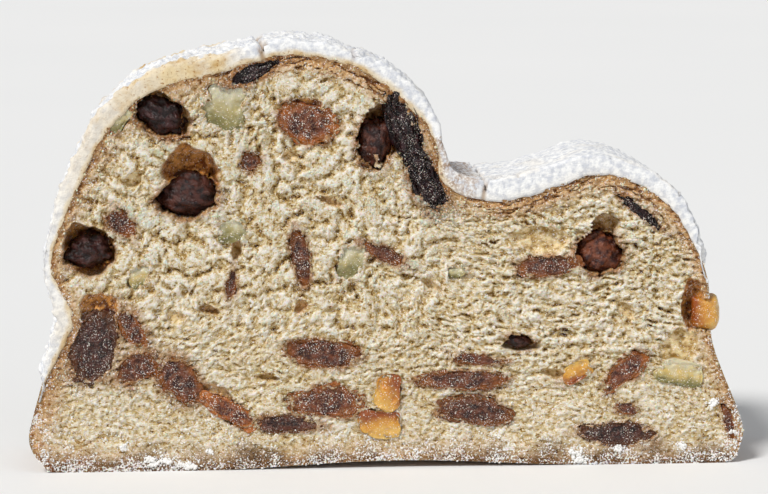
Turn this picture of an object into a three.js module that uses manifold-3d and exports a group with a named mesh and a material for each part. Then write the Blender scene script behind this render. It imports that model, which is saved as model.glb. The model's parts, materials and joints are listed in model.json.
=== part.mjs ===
// A slice of stollen, the folded Christmas loaf of rich yeast dough with raisins and candied peel.
// The loaf is folded lengthways, so its section has a tall hump, a notch where the fold ends and a
// lower shoulder. A thick coat of butter and sugar lies over the top and runs down both sides.
//
// Frame: millimetres, +X to the right across the loaf, +Y from the front cut to the back cut, +Z up.
// The origin is the middle of the base. Every part is one solid of the same rigid slice.
import * as THREE from "three";
import { mergeVertices } from "three/addons/utils/BufferGeometryUtils.js";
import Module from "manifold-3d";

// ---------------------------------------------------------------- driving dimensions, millimetres
const THICKNESS = 24; // from cut to cut
const GAP = 0.3; // left round every fruit, and under the sugar coat
const OUTLINE_STEPS = 84; // straight stretches round the dough's outline
const COAT_STEPS = 48; // stations along the sugar coat
const COAT_ROWS = 3; // stretches across the coat's width, from cut to cut
const COAT_LUMP = 0.35; // how far lumps of sugar lift the coat's outer face
const FACE = THICKNESS / 2;
const SLAB_SPAN = 400; // width and height of the space between the two cuts
const FINE_STEPS = 400; // steps of the fine outline that places on the coat are looked up in

// The dough's outline at the cut, clockwise from the left foot: [x, z]. A smooth curve joins the points.
const OUTLINE = [
  [-57.6, 0], [-60.8, 2.0], [-62.5, 5.2], [-62.1, 8.6], [-61.0, 12.6], [-59.4, 17.4],
  [-56.9, 21.7], [-54.9, 26.6], [-56.0, 30.6], [-58.2, 34.6], [-58.2, 38.6], [-55.2, 46.6],
  [-51.0, 55.4], [-46.8, 62.0], [-40.2, 66.6], [-28.6, 69.8], [-17.8, 72.6], [-8.0, 71.3],
  [-1.2, 67.9], [3.9, 63.4], [7.6, 59.0], [8.6, 54.6], [9.8, 50.4], [13.8, 48.0], [20.6, 47.3],
  [28.7, 49.4], [35.8, 51.8], [43.0, 50.2], [49.2, 46.0], [53.9, 38.8], [56.1, 32.0],
  [56.8, 22.4], [58.8, 16.5], [61.2, 10.8], [62.7, 5.6], [61.7, 2.0], [59.0, 0],
];
// The underside rests on its two ends and arches up between these places.
const ARCH = { from: 38.5, to: -34.5, rise: 1.3, steps: 8 };

// The sugar coat's thickness at points of the outline, from its lower left end over the top to its
// end on the right: [x, z, thickness]. It is thin where the dough was steep and thick in the notch.
const COAT = [
  [-61.0, 12.6, 0.5], [-59.4, 17.4, 1.2], [-54.9, 26.6, 2.5], [-58.2, 36.6, 1.0], [-55.2, 46.6, 1.9],
  [-46.8, 62.0, 2.4], [-34.0, 68.5, 2.9], [-17.8, 72.6, 2.2], [-8.0, 71.3, 2.0], [3.9, 63.4, 2.8],
  [8.4, 55.0, 0.9], [13.8, 48.0, 2.9], [20.6, 47.3, 3.9], [28.7, 49.4, 3.5], [35.8, 51.8, 3.2],
  [43.0, 50.2, 2.7], [49.2, 46.0, 2.4], [53.9, 38.8, 1.6], [56.1, 32.0, 0.6],
];

// Fruit at the cuts. at: its middle [x, z]; half: half its length, height and depth; tilt: degrees
// that its length rises to the right; bend: how far its tips turn up; whole: lies in a hole of the
// crumb instead of being sliced; boxy: cut in dice.
const FRONT_FRUIT = {
  raisin_01: { at: [-23.8, 69.4], half: [4.5, 1.3, 4], tilt: 24, bend: 0.5 },
  raisin_02: { at: [-39.0, 62.1], half: [4.7, 3.1, 3.6], tilt: -16, whole: true },
  raisin_03: { at: [-34.4, 48.2], half: [5.3, 3.9, 4.2], tilt: -4, whole: true },
  raisin_04: { at: [-14.0, 60.7], half: [4.7, 3.3, 4], tilt: -4 },
  raisin_05: { at: [-2.4, 57.0], half: [4.6, 3.1, 3.8], tilt: 80, whole: true },
  raisin_06: { at: [2.9, 58.6], half: [6.9, 2.4, 5], tilt: -73, bend: -0.6 },
  raisin_07: { at: [6.0, 51.8], half: [6.3, 2.1, 5], tilt: -64, bend: 1.6 },
  raisin_08: { at: [-51.8, 38.4], half: [3.9, 2.9, 3.6], tilt: -3, whole: true },
  raisin_09: { at: [-46.4, 43.6], half: [2.7, 1.9, 3], tilt: -35 },
  raisin_10: { at: [-23.9, 54.2], half: [1.7, 1.4, 2.4], tilt: -50 },
  raisin_11: { at: [-15.1, 37.2], half: [4.4, 1.7, 3.6], tilt: -78 },
  raisin_12: { at: [-27.2, 32.9], half: [2.8, 0.8, 2.6], tilt: 82 },
  raisin_13: { at: [-0.8, 37.9], half: [3.5, 1.3, 3.4], tilt: -27 },
  raisin_14: { at: [-51.0, 21.8], half: [6.0, 3.8, 4.6], tilt: 80 },
  raisin_15: { at: [-44.4, 25.4], half: [3.7, 1.6, 3.4], tilt: -62, bend: 0.7 },
  raisin_16: { at: [-43.6, 18.2], half: [3.5, 2.5, 4], tilt: 25 },
  raisin_17: { at: [-36.4, 16.0], half: [5.0, 2.7, 4], tilt: -52 },
  raisin_18: { at: [-27.6, 10.3], half: [4.9, 1.7, 4], tilt: -31 },
  raisin_19: { at: [-18.2, 8.1], half: [6.3, 1.5, 4.6], tilt: 0, bend: 0.2 },
  raisin_20: { at: [-11.6, 20.6], half: [6.8, 2.5, 5], tilt: -9, bend: 0.5 },
  raisin_21: { at: [-10.6, 11.8], half: [6.2, 2.8, 5], tilt: 2 },
  raisin_22: { at: [15.4, 18.9], half: [4.8, 0.9, 3.6], tilt: -9, bend: -0.4 },
  raisin_23: { at: [13.2, 15.5], half: [6.7, 1.7, 4.6], tilt: 0, bend: 0.2 },
  raisin_24: { at: [15.0, 9.9], half: [6.4, 2.2, 4.8], tilt: -7 },
  raisin_25: { at: [27.8, 35.4], half: [5.0, 1.7, 4], tilt: 2 },
  raisin_26: { at: [37.0, 37.4], half: [4.0, 3.9, 4], tilt: 20, whole: true },
  raisin_27: { at: [43.7, 45.2], half: [4.7, 0.8, 3.4], tilt: -43, bend: 0.3 },
  raisin_28: { at: [22.7, 22.2], half: [2.2, 1.3, 2.8], tilt: -8, whole: true },
  raisin_29: { at: [41.6, 16.6], half: [5.0, 1.8, 4], tilt: 42 },
  raisin_30: { at: [42.1, 10.0], half: [2.0, 1.1, 2.6], tilt: -18 },
  raisin_31: { at: [40.6, 5.4], half: [6.7, 1.9, 4.8], tilt: 0 },
  raisin_32: { at: [60.2, 7.2], half: [2.6, 0.8, 2.8], tilt: 102 },
  orange_peel_1: { at: [55.9, 26.5], half: [3.3, 2.5, 3.4], tilt: 84, whole: true, boxy: true },
  orange_peel_2: { at: [-0.2, 13.3], half: [2.6, 2.2, 3], tilt: 76, boxy: true },
  orange_peel_3: { at: [-1.6, 7.8], half: [3.4, 2.1, 3.2], tilt: -2, boxy: true },
  orange_peel_4: { at: [33.3, 16.7], half: [2.3, 1.4, 2.4], tilt: 20, boxy: true },
  citron_1: { at: [-28.1, 63.6], half: [3.2, 3.1, 3.4], tilt: 0, boxy: true },
  citron_2: { at: [-27.1, 42.1], half: [2.1, 1.9, 2.4], tilt: 10, boxy: true },
  citron_3: { at: [-6.7, 36.5], half: [2.8, 1.9, 2.8], tilt: 80, boxy: true },
  citron_4: { at: [51.5, 16.1], half: [3.7, 2.0, 3], tilt: -18, boxy: true },
  citron_5: { at: [11.9, 34.4], half: [1.2, 0.8, 1.6], tilt: 12, boxy: true },
  citron_6: { at: [-43.1, 34.0], half: [1.7, 1.6, 2.2], tilt: 0, boxy: true },
  citron_7: { at: [-46.2, 61.3], half: [1.9, 1.2, 2.2], tilt: 42, boxy: true },
};
const BACK_FRUIT = {
  raisin_33: { at: [-41.0, 55.0], half: [4.8, 3.2, 3.8], tilt: 20, whole: true },
  raisin_34: { at: [-18.0, 63.0], half: [5.2, 2.4, 4], tilt: -12 },
  raisin_35: { at: [-47.0, 30.0], half: [5.0, 2.6, 4], tilt: 35 },
  raisin_36: { at: [-20.0, 42.5], half: [4.6, 3.4, 4], tilt: -25, whole: true },
  raisin_37: { at: [-32.0, 13.5], half: [6.2, 1.9, 4.4], tilt: 4 },
  raisin_38: { at: [3.5, 33.0], half: [4.8, 2.3, 4], tilt: 14 },
  raisin_39: { at: [18.0, 12.5], half: [6.4, 2.1, 4.6], tilt: -5 },
  raisin_40: { at: [36.5, 28.5], half: [4.8, 2.8, 4], tilt: -30 },
  raisin_41: { at: [46.5, 12.0], half: [5.0, 1.8, 4], tilt: 12 },
  orange_peel_5: { at: [-4.5, 21.0], half: [3.0, 2.3, 3], tilt: 30, boxy: true },
  orange_peel_6: { at: [47.0, 36.0], half: [2.6, 2.0, 2.6], tilt: -35, boxy: true },
  citron_8: { at: [-38.0, 38.5], half: [2.8, 2.4, 3], tilt: 15, boxy: true },
  citron_9: { at: [24.5, 38.0], half: [2.8, 2.1, 2.8], tilt: -10, boxy: true },
};

// Hollows over shrunken fruit and where the dough rose most: [x, z], half sizes and tilt.
const FRONT_HOLLOWS = [
  { at: [-38.6, 61.9], half: [4.9, 3.6, 4.6], tilt: -14 },
  { at: [-34.2, 52.4], half: [4.4, 4.4, 5.6], tilt: 35 },
  { at: [-15.2, 63.2], half: [3.0, 1.7, 3.4], tilt: 6 },
  { at: [-1.3, 59.2], half: [3.9, 3.8, 6.4], tilt: 0 },
  { at: [-51.4, 38.9], half: [4.0, 4.5, 6.2], tilt: 8 },
  { at: [-50.1, 29.4], half: [2.2, 2.4, 4.0], tilt: 0 },
  { at: [38.0, 41.6], half: [2.2, 3.0, 5.0], tilt: 0 },
  { at: [26.4, 40.0], half: [5.0, 2.3, 2.0], tilt: -6 },
  { at: [23.0, 21.4], half: [2.6, 1.2, 3.6], tilt: -4 },
  { at: [54.4, 29.0], half: [2.0, 4.4, 3.4], tilt: 0 },
  { at: [51.3, 20.3], half: [3.4, 3.0, 2.6], tilt: 0 },
  { at: [-43.9, 51.2], half: [1.9, 1.3, 2.0], tilt: 24 },
  { at: [41.6, 27.4], half: [1.8, 1.1, 2.2], tilt: -46 },
];
const BACK_HOLLOWS = [
  { at: [-40.6, 57.0], half: [4.4, 3.6, 5.0], tilt: 16 },
  { at: [-19.6, 44.6], half: [4.4, 3.8, 5.0], tilt: -20 },
  { at: [31.5, 37.0], half: [2.6, 1.2, 2.4], tilt: 8 },
  { at: [-8.0, 52.0], half: [2.2, 1.5, 2.0], tilt: 30 },
  { at: [10.0, 22.0], half: [2.6, 0.9, 2.0], tilt: -6 },
];

// Sides of the slice: the sign of Y at each cut.
const FRONT = -1;
const BACK = 1;
const SMALL = 3.8; // a fruit whose half length is under this has fewer facets
const FACETS_SMALL = 1; // facet levels of the octahedron behind a small fruit or a hollow
const FACETS_LARGE = 2;
const DICE_ROUNDING = 0.38; // how far a die's corners are drawn in, from 0, none, to 1, a ball
const WRINKLE_DEPTH = 0.08; // share of a fruit's half size
const SLICED_SHARE = 0.3; // a sliced fruit's middle lies this share of its depth behind the cut
const WHOLE_COVER = 0.3; // a whole fruit lies this far behind the cut
const WHOLE_SWELL = 1.05; // a whole fruit's depth with its wrinkles, as a share of its half depth
const BEND_LEVEL = 0.3; // share of the bend that the fruit's middle is lowered by, so it stays level
const BACK_SEED = 50; // wrinkles at the back start from here, and those of hollows from the next
const HOLLOW_SEED = 90;

const wasm = await Module();
wasm.setup();

// ---------------------------------------------------------------- solids and geometry
// A closed geometry as a solid for cutting and joining.
function solidOf(geometry) {
  const bare = new THREE.BufferGeometry();
  bare.setAttribute("position", geometry.getAttribute("position"));
  if (geometry.index) bare.setIndex(geometry.index);
  const merged = mergeVertices(bare, 1e-4);
  return new wasm.Manifold(
    new wasm.Mesh({
      numProp: 3,
      vertProperties: new Float32Array(merged.getAttribute("position").array),
      triVerts: new Uint32Array(merged.index.array),
    }),
  );
}

// The largest body of a solid, as a geometry with flat faces.
function geometryOf(solid) {
  const bodies = solid.decompose();
  const largest = bodies.reduce((a, b) => (b.volume() > a.volume() ? b : a));
  const { numProp, numVert, vertProperties, triVerts } = largest.getMesh();
  const positions = new Float32Array(numVert * 3);
  for (let i = 0; i < numVert; i++) {
    positions.set(vertProperties.subarray(i * numProp, i * numProp + 3), i * 3);
  }
  const geometry = new THREE.BufferGeometry();
  geometry.setAttribute("position", new THREE.BufferAttribute(positions, 3));
  geometry.setIndex(new THREE.BufferAttribute(new Uint32Array(triVerts), 1));
  const flat = geometry.toNonIndexed();
  flat.computeVertexNormals();
  return flat;
}

function unionOf(solids) {
  return solids.reduce((all, next) => all.add(next));
}

// ---------------------------------------------------------------- the dough
// A smooth curve through [x, z] points, as evenly spaced points.
function smoothLine(points, steps) {
  const curve = new THREE.CatmullRomCurve3(
    points.map(([x, z]) => new THREE.Vector3(x, 0, z)),
    false,
    "centripetal",
  );
  return curve.getSpacedPoints(steps).map((p) => new THREE.Vector2(p.x, p.z));
}

// The underside's arch: a raised cosine between the two flat ends.
function archLine() {
  const { from, to, rise, steps } = ARCH;
  return Array.from({ length: steps + 1 }, (_, i) => {
    const z = (rise * (1 - Math.cos((2 * Math.PI * i) / steps))) / 2;
    return new THREE.Vector2(THREE.MathUtils.lerp(from, to, i / steps), z);
  });
}

// The outline swept from cut to cut. The shape is drawn in X and Y, then stood up on its base.
function doughSolid() {
  const shape = new THREE.Shape([...smoothLine(OUTLINE, OUTLINE_STEPS), ...archLine()]);
  const geometry = new THREE.ExtrudeGeometry(shape, { depth: THICKNESS, steps: 1, bevelEnabled: false });
  geometry.rotateX(Math.PI / 2);
  geometry.translate(0, FACE, 0);
  return solidOf(geometry);
}

// The space between the two cuts, wider and taller than the slice.
function slabSolid() {
  return solidOf(new THREE.BoxGeometry(SLAB_SPAN, THICKNESS, SLAB_SPAN));
}

// ---------------------------------------------------------------- the sugar coat
// The place along the coat, from 0 to 1, that lies nearest to a point.
function nearestPlace(line, [x, z]) {
  const here = new THREE.Vector2(x, z);
  const distances = line.map((p) => p.distanceTo(here));
  return distances.indexOf(Math.min(...distances)) / (line.length - 1);
}

// The coat's thickness at a place, eased between the named thicknesses.
function coatThickness(place, stops) {
  const next = Math.max(1, stops.findIndex((stop) => stop.place >= place));
  const [a, b] = [stops[next - 1], stops[next]];
  const share = THREE.MathUtils.smoothstep(place, a.place, b.place);
  return THREE.MathUtils.lerp(a.thickness, b.thickness, share);
}

// How high a lump lifts the coat at a station and row, from -1 to 1: two slow waves that never agree.
function coatLump(station, row) {
  return Math.sin(station * 1.3 + row * 2.1) * Math.sin(station * 0.47 + row);
}

// A band along the outline: each station has an outer row and an inner row of points from cut to cut.
function coatSolid() {
  const whole = smoothLine(OUTLINE, FINE_STEPS);
  const from = Math.round(nearestPlace(whole, COAT[0]) * FINE_STEPS);
  const to = Math.round(nearestPlace(whole, COAT.at(-1)) * FINE_STEPS);
  const run = whole.slice(from, to + 1).map((p) => [p.x, p.y]);
  const line = smoothLine(run, COAT_STEPS);
  const stops = COAT.map(([x, z, thickness]) => ({ place: nearestPlace(line, [x, z]), thickness }));
  const across = COAT_ROWS + 1;
  const ring = across * 2;
  const positions = [];
  line.forEach((p, i) => {
    const ahead = line[Math.min(i + 1, COAT_STEPS)];
    const behind = line[Math.max(i - 1, 0)];
    const along = ahead.clone().sub(behind).normalize();
    const outward = new THREE.Vector2(-along.y, along.x);
    const thickness = coatThickness(i / COAT_STEPS, stops);
    for (let k = 0; k < ring; k++) {
      const outer = k < across;
      const row = outer ? k : ring - 1 - k;
      const y = THREE.MathUtils.lerp(-FACE, FACE, row / COAT_ROWS);
      const lump = COAT_LUMP * coatLump(i, row);
      const inset = row === 0 || row === COAT_ROWS ? 0 : 1;
      const lift = outer ? thickness + lump * inset * Math.min(1, thickness) : GAP;
      positions.push(p.x + outward.x * lift, y, p.y + outward.y * lift);
    }
  });
  const index = [];
  for (let i = 0; i < COAT_STEPS; i++) {
    for (let k = 0; k < ring; k++) {
      const a = i * ring + k;
      const b = i * ring + ((k + 1) % ring);
      index.push(a, a + ring, b, b, a + ring, b + ring);
    }
  }
  const last = COAT_STEPS * ring;
  for (let row = 0; row < COAT_ROWS; row++) {
    const [a, b, c, d] = [row, row + 1, ring - 2 - row, ring - 1 - row];
    index.push(a, b, d, b, c, d);
    index.push(last + a, last + d, last + b, last + b, last + d, last + c);
  }
  const geometry = new THREE.BufferGeometry();
  geometry.setAttribute("position", new THREE.Float32BufferAttribute(positions, 3));
  geometry.setIndex(index);
  return solidOf(geometry);
}

// ---------------------------------------------------------------- fruit and hollows
// Swells and dents of a shrunken skin in the direction p, between about -1 and 1.
function wrinkle(p, seed) {
  const long = Math.sin(3.1 * p.x + seed * 1.7) * Math.cos(2.7 * p.z - seed);
  const short = Math.sin(5.3 * p.z + seed * 2.3 + 2 * p.y) * Math.cos(4.1 * p.x + seed);
  return 0.6 * long + 0.4 * short;
}

// The body behind a fruit, about 1 in radius: a cube with its corners drawn in, or an octahedron
// whose facets are split and pushed out to a ball.
function plainBody({ half, boxy = false, hollow = false }) {
  const facets = hollow || half[0] < SMALL ? FACETS_SMALL : FACETS_LARGE;
  if (!boxy) return new THREE.OctahedronGeometry(1, facets);
  const geometry = new THREE.BoxGeometry(2, 2, 2, 2, 2, 2);
  const points = geometry.getAttribute("position");
  for (let i = 0; i < points.count; i++) {
    const p = new THREE.Vector3().fromBufferAttribute(points, i);
    p.multiplyScalar(THREE.MathUtils.lerp(1, 1 / p.length(), DICE_ROUNDING));
    points.setXYZ(i, p.x, p.y, p.z);
  }
  return geometry;
}

// A fruit about its own middle: its body stretched to its half sizes, with wrinkles in its skin and
// with its tips bent. grow makes the room that it lies in.
function fruitGeometry(fruit, seed, grow = 0) {
  const [length, height, depth] = fruit.half;
  const bend = fruit.bend ?? 0;
  const geometry = plainBody(fruit);
  const points = geometry.getAttribute("position");
  for (let i = 0; i < points.count; i++) {
    const p = new THREE.Vector3().fromBufferAttribute(points, i);
    const outward = p.clone().normalize();
    p.multiplyScalar(1 + WRINKLE_DEPTH * wrinkle(outward, seed));
    p.multiply(new THREE.Vector3(length, depth, height)).addScaledVector(outward, grow);
    p.z += bend * ((p.x / length) ** 2 - BEND_LEVEL);
    points.setXYZ(i, p.x, p.y, p.z);
  }
  return geometry;
}

// Turns and moves a geometry to its place behind a cut. depthBehind is its middle's depth.
function placed(geometry, { at, tilt }, side, depthBehind) {
  geometry.rotateY(-THREE.MathUtils.degToRad(tilt));
  geometry.translate(at[0], side * (FACE - depthBehind), at[1]);
  return geometry;
}

function middleDepth({ half, whole = false }) {
  const depth = half[2];
  return whole ? depth * WHOLE_SWELL + WHOLE_COVER : depth * SLICED_SHARE;
}

// The solids of one side's fruit, in order: each leaves room for the ones before it.
function fruitSolids(fruits, side, slab) {
  const made = [];
  Object.entries(fruits).forEach(([name, fruit], i) => {
    const seed = i + (side === BACK ? BACK_SEED : 1);
    const depth = middleDepth(fruit);
    let solid = solidOf(placed(fruitGeometry(fruit, seed), fruit, side, depth)).intersect(slab);
    made.forEach(({ room }) => {
      solid = solid.subtract(room);
    });
    const room = solidOf(placed(fruitGeometry(fruit, seed, GAP), fruit, side, depth));
    made.push({ name, solid, room });
  });
  return made;
}

function hollowSolids(hollows, side) {
  return hollows.map((space, i) => {
    const geometry = fruitGeometry({ ...space, hollow: true }, i + HOLLOW_SEED);
    return solidOf(placed(geometry, space, side, 0));
  });
}

// ---------------------------------------------------------------- materials
function food(color, roughness) {
  return new THREE.MeshStandardMaterial({ color, roughness, metalness: 0 });
}
const CRUMB = food(0xd9c9a3, 0.95);
const SUGAR = food(0xf4f1ec, 0.9);
const RAISIN = food(0x3a1e1c, 0.35);
const ORANGE_PEEL = food(0xd08a22, 0.3);
const CITRON = food(0xb4b070, 0.3);

function fruitMaterial(name) {
  if (name.startsWith("raisin")) return RAISIN;
  return name.startsWith("orange") ? ORANGE_PEEL : CITRON;
}

// ---------------------------------------------------------------- the slice
function namedMesh(name, solid, material) {
  const mesh = new THREE.Mesh(geometryOf(solid), material);
  mesh.name = name;
  return mesh;
}

function makeSlice() {
  const slab = slabSolid();
  const fruits = [...fruitSolids(FRONT_FRUIT, FRONT, slab), ...fruitSolids(BACK_FRUIT, BACK, slab)];
  const hollows = [...hollowSolids(FRONT_HOLLOWS, FRONT), ...hollowSolids(BACK_HOLLOWS, BACK)];
  const rooms = unionOf(fruits.map((fruit) => fruit.room));
  const slice = new THREE.Group();
  slice.add(namedMesh("dough", doughSolid().subtract(rooms).subtract(unionOf(hollows)), CRUMB));
  slice.add(namedMesh("sugar_coat", coatSolid().subtract(rooms), SUGAR));
  fruits.forEach(({ name, solid }) => slice.add(namedMesh(name, solid, fruitMaterial(name))));
  const box = new THREE.Box3().setFromObject(slice);
  const middle = box.getCenter(new THREE.Vector3());
  slice.position.set(-middle.x, -middle.y, -box.min.z);
  return slice;
}

export default makeSlice();
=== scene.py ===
import json

import bpy
import numpy as np
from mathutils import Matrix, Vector

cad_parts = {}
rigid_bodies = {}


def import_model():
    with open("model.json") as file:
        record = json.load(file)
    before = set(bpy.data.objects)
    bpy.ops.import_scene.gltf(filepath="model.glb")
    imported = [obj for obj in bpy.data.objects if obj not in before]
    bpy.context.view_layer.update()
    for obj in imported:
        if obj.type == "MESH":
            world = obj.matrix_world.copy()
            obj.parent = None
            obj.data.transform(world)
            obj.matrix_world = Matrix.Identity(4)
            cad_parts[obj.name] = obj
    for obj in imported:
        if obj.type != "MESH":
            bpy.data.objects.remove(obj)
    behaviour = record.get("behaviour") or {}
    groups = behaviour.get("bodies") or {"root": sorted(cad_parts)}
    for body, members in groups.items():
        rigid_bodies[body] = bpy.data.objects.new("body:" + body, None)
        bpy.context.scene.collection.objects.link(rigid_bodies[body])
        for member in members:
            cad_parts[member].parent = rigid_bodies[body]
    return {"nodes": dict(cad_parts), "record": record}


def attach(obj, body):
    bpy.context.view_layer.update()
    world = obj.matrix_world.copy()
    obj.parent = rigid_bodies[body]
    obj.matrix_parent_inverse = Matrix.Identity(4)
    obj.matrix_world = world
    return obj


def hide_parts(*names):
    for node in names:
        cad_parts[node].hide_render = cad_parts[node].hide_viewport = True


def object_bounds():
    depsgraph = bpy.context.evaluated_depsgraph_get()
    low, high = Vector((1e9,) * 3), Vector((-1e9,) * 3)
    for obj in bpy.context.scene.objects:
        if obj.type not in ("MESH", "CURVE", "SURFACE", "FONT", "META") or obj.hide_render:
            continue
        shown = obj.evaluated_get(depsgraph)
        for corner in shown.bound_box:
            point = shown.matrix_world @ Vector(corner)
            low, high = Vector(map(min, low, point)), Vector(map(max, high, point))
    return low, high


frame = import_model()
CAD_BOX = [list(corner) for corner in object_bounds()]

# ------------------------------------------------------------------ table top, light and camera
# A matt pale table top in an even pale room, with one large soft light from the upper left in front
# and a weak wide one from the right. The slice stands in the middle of it.
MM = 0.001
LOW, HIGH = (np.array(corner) / MM for corner in CAD_BOX)
WIDTH, DEPTH, HEIGHT = HIGH - LOW
FACE = DEPTH / 2


def linear(hex_colour):
    """An sRGB hex colour as linear red, green, blue and alpha: each channel's sRGB curve undone."""
    channels = np.array([int(hex_colour[i : i + 2], 16) for i in (1, 3, 5)]) / 255
    curve = np.where(channels <= 0.04045, channels / 12.92, ((channels + 0.055) / 1.055) ** 2.4)
    return (*curve.tolist(), 1.0)


def material(name, fields=()):
    """A node material: itself, its Principled shader, wired to the output, its Object coordinates, and
    the mesh's point fields of the given names."""
    made = bpy.data.materials.new(name)
    made.use_nodes = True
    shader = made.node_tree.nodes["Principled BSDF"]
    field = {key: add(shader, "Attribute", "Fac", attribute_name=key) for key in fields}
    return made, shader, add(shader, "TexCoord", "Object"), field


def add(shader, kind, output, inputs=None, **settings):
    """Adds a node beside a shader, with its settings as attributes and its inputs as values or
    sockets to link, and returns its output of the given name."""
    made = shader.id_data.nodes.new("ShaderNode" + kind)
    for key, value in settings.items():
        setattr(made, key, value)
    wire(made, inputs or {})
    return made.outputs[output]


def wire(made, inputs):
    """Sets or links a node's inputs: a socket is linked, anything else is its value."""
    for key, value in inputs.items():
        socket = made.inputs[key]
        if isinstance(value, bpy.types.NodeSocket):
            made.id_data.links.new(value, socket)
        else:
            socket.default_value = value


def matt_table():
    """Matt painted board: one pale grey, broad faint patches, no gloss."""
    made, shader, place, _ = material("matt_painted_board")
    patch = add(shader, "TexNoise", "Fac", {"Vector": place, "Scale": 3.0})
    tones = {"Factor": patch, "A": linear("#eceded"), "B": linear("#f1f1f1")}
    tone = add(shader, "Mix", "Result", tones, data_type="RGBA")
    wire(shader, {"Base Color": tone, "Roughness": 0.9, "Specular IOR Level": 0.2})
    return made


def table_top(half=6.0):
    """A flat square in the plane z = 0."""
    mesh = bpy.data.meshes.new("table_top")
    corners = [(-half, -half, 0), (half, -half, 0), (half, half, 0), (-half, half, 0)]
    mesh.from_pydata(corners, [], [(0, 1, 2, 3)])
    mesh.materials.append(matt_table())
    board = bpy.data.objects.new("table_top", mesh)
    bpy.context.scene.collection.objects.link(board)
    return board


def soft_light(name, direction, strength, spread, colour):
    """An even light that shines from a direction, spread over a round patch of sky in degrees."""
    data = bpy.data.lights.new(name, "SUN")
    data.energy = strength
    data.angle = np.radians(spread)
    data.color = linear(colour)[:3]
    light = bpy.data.objects.new(name, data)
    light.rotation_euler = Vector(direction).to_track_quat("Z", "Y").to_euler()
    bpy.context.scene.collection.objects.link(light)


def camera_round(azimuth, elevation, distance, share):
    """A camera on a sphere round the slice's middle. share is the slice's part of the picture's width."""
    data = bpy.data.cameras.new("camera")
    data.lens = data.sensor_width * distance * share / (WIDTH * MM)
    data.clip_start = 0.01
    camera = bpy.data.objects.new("camera", data)
    a, e = np.radians([azimuth, elevation])
    back = Vector((np.sin(a) * np.cos(e), -np.cos(a) * np.cos(e), np.sin(e)))
    middle = Vector(((LOW + HIGH) / 2 * MM).tolist())
    camera.location = middle + back * distance
    camera.rotation_euler = back.to_track_quat("Z", "Y").to_euler()
    bpy.context.scene.collection.objects.link(camera)
    bpy.context.scene.camera = camera


table_top()
soft_light("key_light", (-0.5, -0.55, 0.85), 2.7, 14, "#fffdfa")
soft_light("fill_light", (0.8, -0.55, 0.3), 0.35, 60, "#f4f8ff")
world = bpy.data.worlds.new("pale_room")
world.use_nodes = True
world.node_tree.nodes["Background"].inputs["Color"].default_value = linear("#f2f4f7")
world.node_tree.nodes["Background"].inputs["Strength"].default_value = 0.36
bpy.context.scene.world = world
bpy.context.scene.view_settings.view_transform = "Standard"
camera_round(azimuth=-4, elevation=8, distance=0.5, share=0.918)

# ------------------------------------------------------------------ the cut dough, front and back half
# Rich yeast dough, folded over itself and baked: a pale open crumb that the knife has torn a little,
# a browned crust all round it, and pockets where fruit lies. Each half is one closed body from its
# cut to the slice's middle.
FRONT_GRID = (300, 540)  # points up and across the front cut, which is made in two pieces
BACK_GRID = (214, 380)
RIM = np.array([0.25, 0.6, 1.2, 2.2, 3.6, 5.4, 7.6, 9.8, FACE])  # rings behind the cut, millimetres
LEVEL = 0.36  # painted shade of the crumb where it is neither raised nor sunken, from 0 to 1
CRUMB_PROUD = 0.22  # most that the torn crumb stands out of its cut, millimetres
rng = np.random.default_rng(1)
SHUFFLE = rng.permutation(256)
SLOPES = rng.normal(size=(256, 3))
SLOPES /= np.linalg.norm(SLOPES, axis=1, keepdims=True)


def grain(p, size, seed):
    """Gradient noise, about -1 to 1. Space is cut in cells of the given size, one number or one for
    each axis. Each corner has a random slope, and the eight corners' planes are eased together."""
    seed_step, gain = 17.31, 1.6  # cells between two seeds, and what brings the sum to -1 to 1
    q = p / np.asarray(size, float) + seed * seed_step
    cell = np.floor(q).astype(int)
    f = q - cell
    ease = f**3 * (f * (f * 6 - 15) + 10)
    total = np.zeros(p.shape[:-1])
    for corner in np.ndindex(2, 2, 2):
        step = np.array(corner)
        i, j, k = np.moveaxis((cell + step) & 255, -1, 0)
        slope = SLOPES[SHUFFLE[(SHUFFLE[(SHUFFLE[i] + j) & 255] + k) & 255]]
        weight = np.prod(np.where(step, ease, 1 - ease), axis=-1)
        total += weight * np.sum(slope * (f - step), axis=-1)
    return total * gain


def pits(p, size, seed, share, low, high):
    """Round pits, 0 to 1. Each cell of the given size holds one pit with the chance share, at a
    random place, with a radius from low to high of the cell. A pit's depth is a ball's."""
    seed_step, cells = 5.7, 128  # cells between two seeds, and after which the places come again
    q = p[..., [0, 2]] / np.asarray(size, float) + seed * seed_step
    cell = np.floor(q).astype(int)
    luck = np.random.default_rng(seed).random((4, cells, cells))
    deepest = np.zeros(p.shape[:-1])
    for step in np.ndindex(3, 3):
        i, j = np.moveaxis(cell + np.array(step) - 1, -1, 0)
        at_x, at_z, chance, spread = luck[:, i % cells, j % cells]
        radius = (low + (high - low) * spread**2) * (chance < share)
        away = np.hypot(i + at_x - q[..., 0], j + at_z - q[..., 1])
        ball = 1 - (away / np.maximum(radius, 1e-6)) ** 2
        deepest = np.maximum(deepest, np.sqrt(np.clip(ball, 0, 1)) * radius / high)
    return deepest


def ramp(value, start, end):
    """0 before start, 1 after end, eased between."""
    t = np.clip((value - start) / (end - start), 0, 1)
    return t * t * (3 - 2 * t)


def node_points(name):
    """A CAD node's vertices in millimetres, with doubles left out."""
    mesh = frame["nodes"][name].data
    flat = np.empty(len(mesh.vertices) * 3, np.float32)
    mesh.vertices.foreach_get("co", flat)
    return np.unique(np.round(flat.reshape(-1, 3) / MM, 3), axis=0)


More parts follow.
